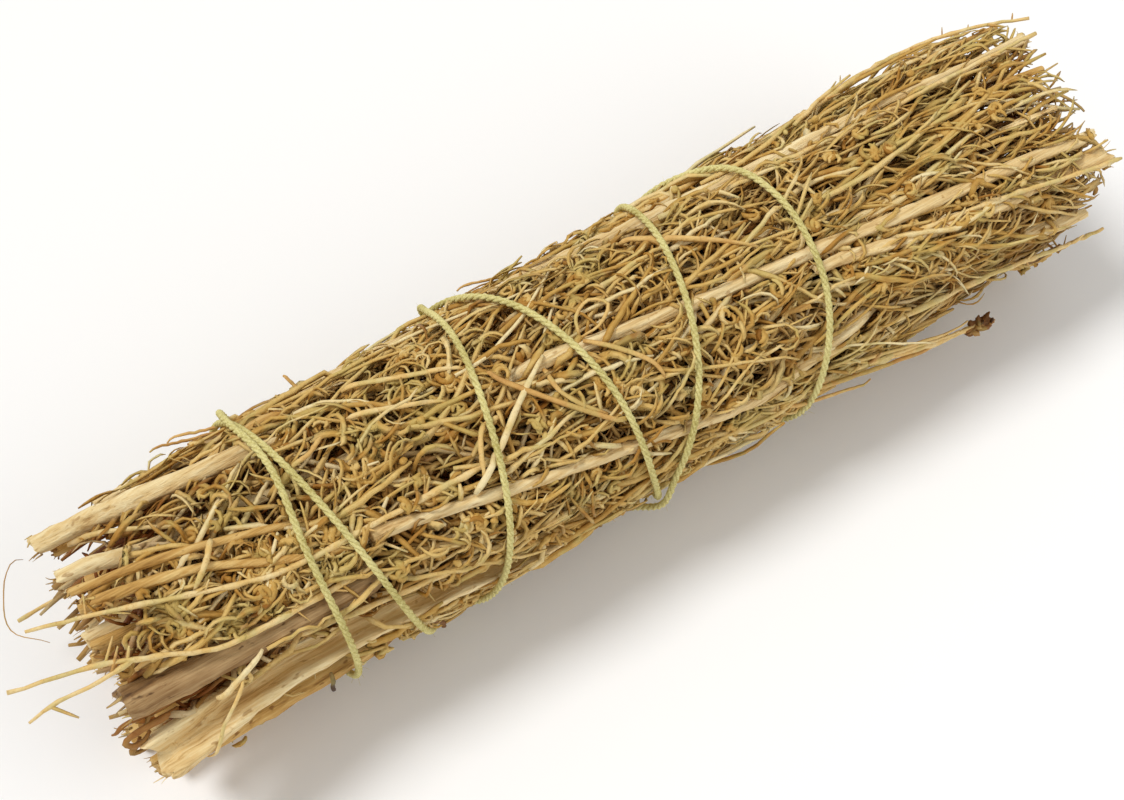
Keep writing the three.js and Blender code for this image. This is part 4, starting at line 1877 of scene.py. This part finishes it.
@dataclass
class CrossingTwigs:
    """The single twigs and leaves that show most, lying across the others.

    Attributes:
        strands: the twigs, leaves and the hair, one by one.
    """

    strands: tuple[Crossing, ...] = (
        Crossing(0.52, 0.95, ((-26, 44), (-20, 32), (-15, 21), (-8, 8))),
        Crossing(0.42, 0.5, ((-16, 2), (-15, 10), (-10, 27), (-4, 44), (-2, 48))),
        Crossing(0.4, 0.55, ((-9, 13), (-9, 23), (-7, 33), (-4, 42))),
        Crossing(0.42, 0.6, ((-2, 11), (2, 22), (5, 32), (6, 41))),
        Crossing(0.28, 0.7, ((-2, 8), (-1, 1), (2, -3), (4, 3), (1, 9), (-2, 9))),
        Crossing(0.4, 0.7, ((-18, 21), (-21, 22), (-23, 31), (-24, 40))),
        Crossing(0.45, 0.8, ((-36, -10), (-30, -3), (-23, 5))),
        Crossing(0.45, 0.75, ((-34, -26), (-27, -15), (-18, -4))),
        Crossing(0.5, 0.62, ((12, -24), (17, -12), (28, 12))),
        Crossing(0.45, 0.8, ((-60, 8), (-62, 15), (-65, 22))),
        Crossing(0.4, 0.6, ((-46, -2), (-43, -3), (-40, -8))),
        Crossing(0.3, 0.8, ((-65, 62), (-70, 76), (-74, 92)), 21.2),
        Crossing(0.55, 0.9, ((-69, 66), (-65, 61), (-61, 56))),
        Crossing(0.36, 0.02, ((-54, 88), (-54.4, 98), (-54, 110)), 20.8, True),
        Crossing(0.55, 0.34, ((-74, 68), (-79, 66), (-82, 68), (-81, 73), (-78.5, 72)), 17.4, True),
        Crossing(0.5, 0.3, ((-73, 74), (-77, 76), (-80, 80), (-82, 78), (-80, 74)), 17.0, True),
        Crossing(0.45, 0.36, ((-70, 62), (-76, 63), (-81, 61), (-83, 65)), 16.6, True),
        Crossing(0.4, 0.3, ((-58, 63), (-66, 69), (-75, 67)), 15.8, True),
        Crossing(0.35, 0.25, ((-56, 70), (-64, 65), (-72, 71)), 16.4, True),
        Crossing(0.09, 0.6, ((-82, -62), (-86, -25), (-87.5, -3), (-84, 10)), 17.5, True),
        Crossing(0.3, 0.75, ((79, 2), (83, 12), (87, 31)), 17.8, True),
        Crossing(0.35, 0.5, ((-37, -62), (-37.5, -64), (-38, -66)), 19.2, True, 3.6),
        Crossing(0.35, 0.45, ((-50, -60), (-55, -62), (-60, -62)), 19.6, True, 2.6),
        Crossing(0.3, 0.55, ((-46, -58), (-52, -64), (-57, -70)), 19.6, True, 3.0),
        Crossing(0.3, 0.5, ((0, -66), (-4, -68), (-9, -68)), 19.6, True, 2.4),
        Crossing(0.4, 0.1, ((-38, 100), (-36, 108), (-36, 114)), 19.6, True, 1.6),
        Crossing(0.35, 0.6, ((24, 94), (34, 106), (41, 112)), 20.0, True, 2.2),
        Crossing(0.45, 0.5, ((26, 88), (40, 100), (57, 116)), 19.8, True, 2.8),
        Crossing(0.35, 0.7, ((34, 84), (46, 96), (60, 110)), 19.9, True, 2.2),
    )

    def build(self, axis: Axis, overlay: Overlay) -> bpy.types.Object:
        """Makes all of them as one mesh.

        Args:
            axis: the bundle's axis.
            overlay: what they are fitted over and under.

        Returns:
            The mesh.
        """
        grower = Foliage(axis, overlay, Draft(19))
        for strand in self.strands:
            strand.grow(grower)
        return grower.draft.build("crossing_twigs")


@dataclass
class BindingString:
    """Three-ply cotton string, wound up the bundle and back, and knotted at the back.

    Attributes:
        stations: (total angle wound, x) places on its route.
        thickness: its diameter in millimetres.
        lay: the length of one turn of a ply.
        turn_back: the angle past which it lies over its own first run.
        lift: how far it is lifted where it crosses itself.
        lift_reach: how far from a crossing the lift begins.
        fullness: how much thicker a ply is than one that just touches its neighbours.
        fuzz: how many loose fibres stand off it.
    """

    stations: tuple[tuple[float, float], ...] = (
        *((-110, -52), (-35, -48.5), (35, -44), (100, -39), (200, -26), (300, -13), (340, -7)),
        *((385, -2.5), (450, 0), (560, 12), (620, 20), (660, 27), (685, 33), (715, 35), (750, 34.5)),
        *((810, 29), (900, 24), (980, 21), (1030, 18.5), (1075, 16), (1115, 12), (1155, 6), (1180, 2)),
        *((1280, -7), (1380, -15.5), (1425, -17), (1470, -20.5), (1530, -26), (1650, -38.5)),
        *((1760, -49.5), (1795, -48.5), (1830, -50), (1890, -50), (2050, -52)),
    )
    thickness: float = 1.12
    lay: float = 3.9
    turn_back: float = 730.0
    lift: float = 1.4
    lift_reach: float = 2.4
    fullness: float = 1.16
    fuzz: int = 500

    def route(self) -> Run:
        """The string's path, closely spaced.

        Returns:
            x, angle and distance from the axis.
        """
        stops = np.array(self.stations)
        angle = np.arange(stops[0, 0], stops[-1, 0], 1.0)
        x = through(stops[:, 0], stops[:, 1], angle)
        lift = np.zeros_like(angle)
        for turns in range(1, 6):
            below = angle - 360 * turns
            crosses = (angle > self.turn_back) & (below > stops[0, 0]) & (below < self.turn_back)
            apart = (x - through(stops[:, 0], stops[:, 1], below)) / self.lift_reach
            lift = np.maximum(lift, np.where(crosses, self.lift * np.exp(-apart * apart), 0))
        return x, angle, STRING_RADIUS + lift

    def lay_on(self, overlay: Overlay) -> None:
        """Presses the foliage down under the string."""
        x, angle, reach = self.route()
        overlay.lay_string((x, angle, reach), np.full_like(x, self.thickness / 2 + 0.15))

    def _plies(self, path: Array, rng: np.random.Generator) -> Strands:
        """Three plies twisted round a path.

        Args:
            path: the path's points, in millimetres.
            rng: random numbers.

        Returns:
            The plies.
        """
        ahead = unit(np.gradient(path, axis=0))
        gone = np.concatenate([[0], np.cumsum(np.linalg.norm(np.diff(path, axis=0), axis=1))])
        fine = np.arange(0, gone[-1], self.lay / 9)
        path = np.stack([np.interp(fine, gone, path[:, i]) for i in range(3)], -1)
        ahead = unit(np.stack([np.interp(fine, gone, ahead[:, i]) for i in range(3)], -1))
        out = unit(np.cross(ahead, [1.0, 0.0, 0.0]))
        over = np.cross(ahead, out)
        ply = self.thickness / (2 + 4 / math.sqrt(3)) * self.fullness
        rows = []
        for i in range(3):
            turn = -2 * np.pi * (fine / self.lay + i / 3)
            round_ = np.cos(turn)[:, None] * out + np.sin(turn)[:, None] * over
            rows.append((path + round_ * (self.thickness / 2 - ply), round_))
        points, side = (np.stack([row[k] for row in rows]) for k in (0, 1))
        half = np.full(points.shape[:2], ply) * rng.uniform(0.93, 1.07, points.shape[:2])
        return Strands(points, half, half, side, np.ones(points.shape), 5)

    def _fuzz(self, path: Array, rng: np.random.Generator) -> Strands:
        """Loose fibres that stand off the string.

        Args:
            path: the string's points, in millimetres.
            rng: random numbers.

        Returns:
            The fibres.
        """
        rings, count = 5, self.fuzz
        share = np.linspace(0, 1, rings)
        root = path[rng.integers(2, len(path) - 2, count)]
        lean = unit(rng.normal(0, 1, (count, 3)))
        bend = unit(rng.normal(0, 1, (count, 3)))
        length = rng.uniform(0.5, 1.3, count)[:, None, None]
        arc = lean[:, None] * share[:, None] + bend[:, None] * (share**2)[:, None] * 0.6
        points = root[:, None] + arc * length
        half = np.full((count, rings), 0.02)
        side = np.broadcast_to(bend[:, None], points.shape)
        return Strands(points, half, half, side, np.ones(points.shape), 3)

    def build(self, axis: Axis) -> bpy.types.Object:
        """Makes the string with its knot and tails, as one mesh.

        Args:
            axis: the bundle's axis.

        Returns:
            The string.
        """
        draft = Draft(7)
        path = axis.place(*self.route())
        draft.add(self._plies(path, draft.rng))
        knot_angle, knot_x = self.stations[0]
        spin = np.linspace(0, 4 * np.pi, 60)
        knot = axis.place(
            knot_x + 0.85 * np.cos(spin) + np.linspace(-0.4, 0.4, 60),
            knot_angle + np.linspace(-2.6, 2.6, 60),
            STRING_RADIUS + 0.7 + 0.75 * np.sin(spin),
        )
        draft.add(self._plies(knot, draft.rng))
        share = np.linspace(0, 1, 30)
        for side in (-1, 1):
            tail = axis.place(
                knot_x - share * 13, knot_angle + side * 12.8 * share**2, STRING_RADIUS + 0.5 - 0.5 * share
            )
            draft.add(self._plies(tail, draft.rng))
        draft.add(self._fuzz(path, draft.rng))
        return draft.build("binding_string_plies")


# The studio


@dataclass
class Studio:
    """A pale floor, soft light and the camera.

    Attributes:
        azimuth: the camera's angle round the bundle, in degrees.
        elevation: its angle over the floor.
        distance: how far it stands from its target, in metres.
        target: the point that it looks at.
        lens: its focal length in millimetres.
        sky: how strong the world's light is.
        backdrop: how much more of it the camera sees, so that the floor runs into it.
    """

    azimuth: float = -33.1
    elevation: float = 60.1
    distance: float = 0.2793
    target: Triple = (-0.0036, -0.0006, 0.021)
    lens: float = 60.0
    sky: float = 0.5
    backdrop: float = 0.42

    def build(self) -> None:
        """Sets it all up."""
        bpy.ops.object.select_all(action="DESELECT")
        bpy.ops.mesh.primitive_plane_add(size=12.0, location=(0, 0, 0))
        floor = bpy.context.object
        floor.name = "floor"
        paper = bpy.data.materials.new("pale_paper")
        paper.use_nodes = True
        surface = node_of(paper.node_tree, "BSDF_PRINCIPLED")
        surface.inputs["Base Color"].default_value = (0.93, 0.93, 0.93, 1)
        surface.inputs["Roughness"].default_value = 0.9
        floor.data.materials.append(paper)
        world = bpy.context.scene.world or bpy.data.worlds.new("World")
        bpy.context.scene.world = world
        world.use_nodes = True
        background = node_of(world.node_tree, "BACKGROUND")
        background.inputs["Color"].default_value = (1, 0.97, 0.92, 1)
        self._backdrop(world.node_tree, background)
        self._lamp("key_light", "SUN", (-0.3, 0.25, 0.7), math.radians(20), 1.85)
        self._lamp("fill_light", "AREA", (0.3, -0.5, 0.5), 0.5, 1.2)
        self._camera()

    def _backdrop(self, tree: bpy.types.NodeTree, background: bpy.types.Node) -> None:
        """Makes the world as pale as the floor where the camera sees it, without more light.

        Args:
            tree: the world's nodes.
            background: the one that gives its light.
        """
        seen = tree.nodes.new("ShaderNodeLightPath")
        level = tree.nodes.new("ShaderNodeMath")
        level.operation = "MULTIPLY_ADD"
        level.inputs[1].default_value = self.backdrop
        level.inputs[2].default_value = self.sky
        tree.links.new(seen.outputs["Is Camera Ray"], level.inputs[0])
        tree.links.new(level.outputs[0], background.inputs["Strength"])

    def _lamp(self, name: str, kind: str, place: Triple, size: float, power: float) -> None:
        """A soft lamp that looks at the bundle.

        Args:
            name: its name.
            kind: SUN or AREA.
            place: where it stands, in metres.
            size: its width in metres, or its spread in radians.
            power: how bright it is.
        """
        bpy.ops.object.light_add(type=kind, location=place)
        lamp = bpy.context.object
        lamp.name = name
        setattr(lamp.data, "angle" if kind == "SUN" else "size", size)
        lamp.data.energy = power
        towards = lamp.location.to_track_quat("Z", "Y")
        lamp.rotation_euler = towards.to_euler()

    def _camera(self) -> None:
        """The camera, looking down along the bundle's butt side."""
        a, e = math.radians(self.azimuth), math.radians(self.elevation)
        back = np.array([math.sin(a) * math.cos(e), -math.cos(a) * math.cos(e), math.sin(e)])
        data = bpy.data.cameras.new("camera")
        data.lens = self.lens
        data.sensor_width = 36.0
        data.clip_start = 0.005
        camera = bpy.data.objects.new("camera", data)
        camera.location = np.array(self.target) + back * self.distance
        camera.rotation_euler = (math.pi / 2 - e, 0, a)
        bpy.context.scene.collection.objects.link(camera)
        bpy.context.scene.camera = camera


def inner_sprigs(frame: dict) -> list[Sprig]:
    """The sprigs inside the outer ring, leafy where their CAD solids are wide.

    Args:
        frame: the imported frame.

    Returns:
        The sprigs, by their names' order.
    """
    names = sorted(n for n in frame["nodes"] if n.startswith(("heart_", "inner_", "middle_")))
    ends = (End.TORN, End.CUT, End.HOLLOW)
    slim = (0.55, 0.75, 0.6, 0.9, 0.5)
    looks = (Look.BROWN, Look.PALE, Look.BROWN, Look.BROWN)
    return [
        Sprig(name, looks[i % 4], (-50, 72), butt=ends[i % 3], slim=(slim[i % 5], 1.0, 1.0))
        for i, name in enumerate(names)
    ]


def settle(piece: bpy.types.Object, node: str | None, look: Look, palette: Palette) -> None:
    """Dresses a finished piece, parents it to the root body and hides the CAD node that it stands for, if
    there is one.

    Args:
        piece: the piece.
        node: the CAD node, or None.
        look: its finish.
        palette: the materials.
    """
    palette.dress(piece, look)
    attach(piece, "root")
    if node:
        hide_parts(node)
    log.info("%s: %d faces", piece.name, len(piece.data.polygons))


def main() -> None:
    """Builds the bundle and its studio."""
    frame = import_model()
    bpy.context.scene.view_settings.view_transform = "Standard"
    axis = Axis.of_frame()
    palette, maker, overlay = Palette(), StalkMaker(), Overlay()
    sprigs = [*OUTER_SPRIGS, *inner_sprigs(frame)]
    string = BindingString()
    for sprig in sprigs:
        sprig.prepare(axis, frame)
        sprig.lay(overlay)
    string.lay_on(overlay)
    for sprig in sprigs:
        settle(sprig.stem(maker), sprig.node, sprig.look, palette)
    for sprig in sprigs:
        settle(sprig.foliage(overlay), sprig.node, Look.LEAF, palette)
    for twig in LOOSE_TWIGS:
        settle(twig.build(axis), twig.node, Look.TWIG, palette)
    settle(CrossingTwigs().build(axis, overlay), None, Look.TWIG, palette)
    settle(string.build(axis), "binding_string", Look.STRING, palette)
    Studio().build()


if __name__ == "__main__":
    logging.basicConfig(level=logging.INFO, format="%(name)s: %(message)s")
    main()
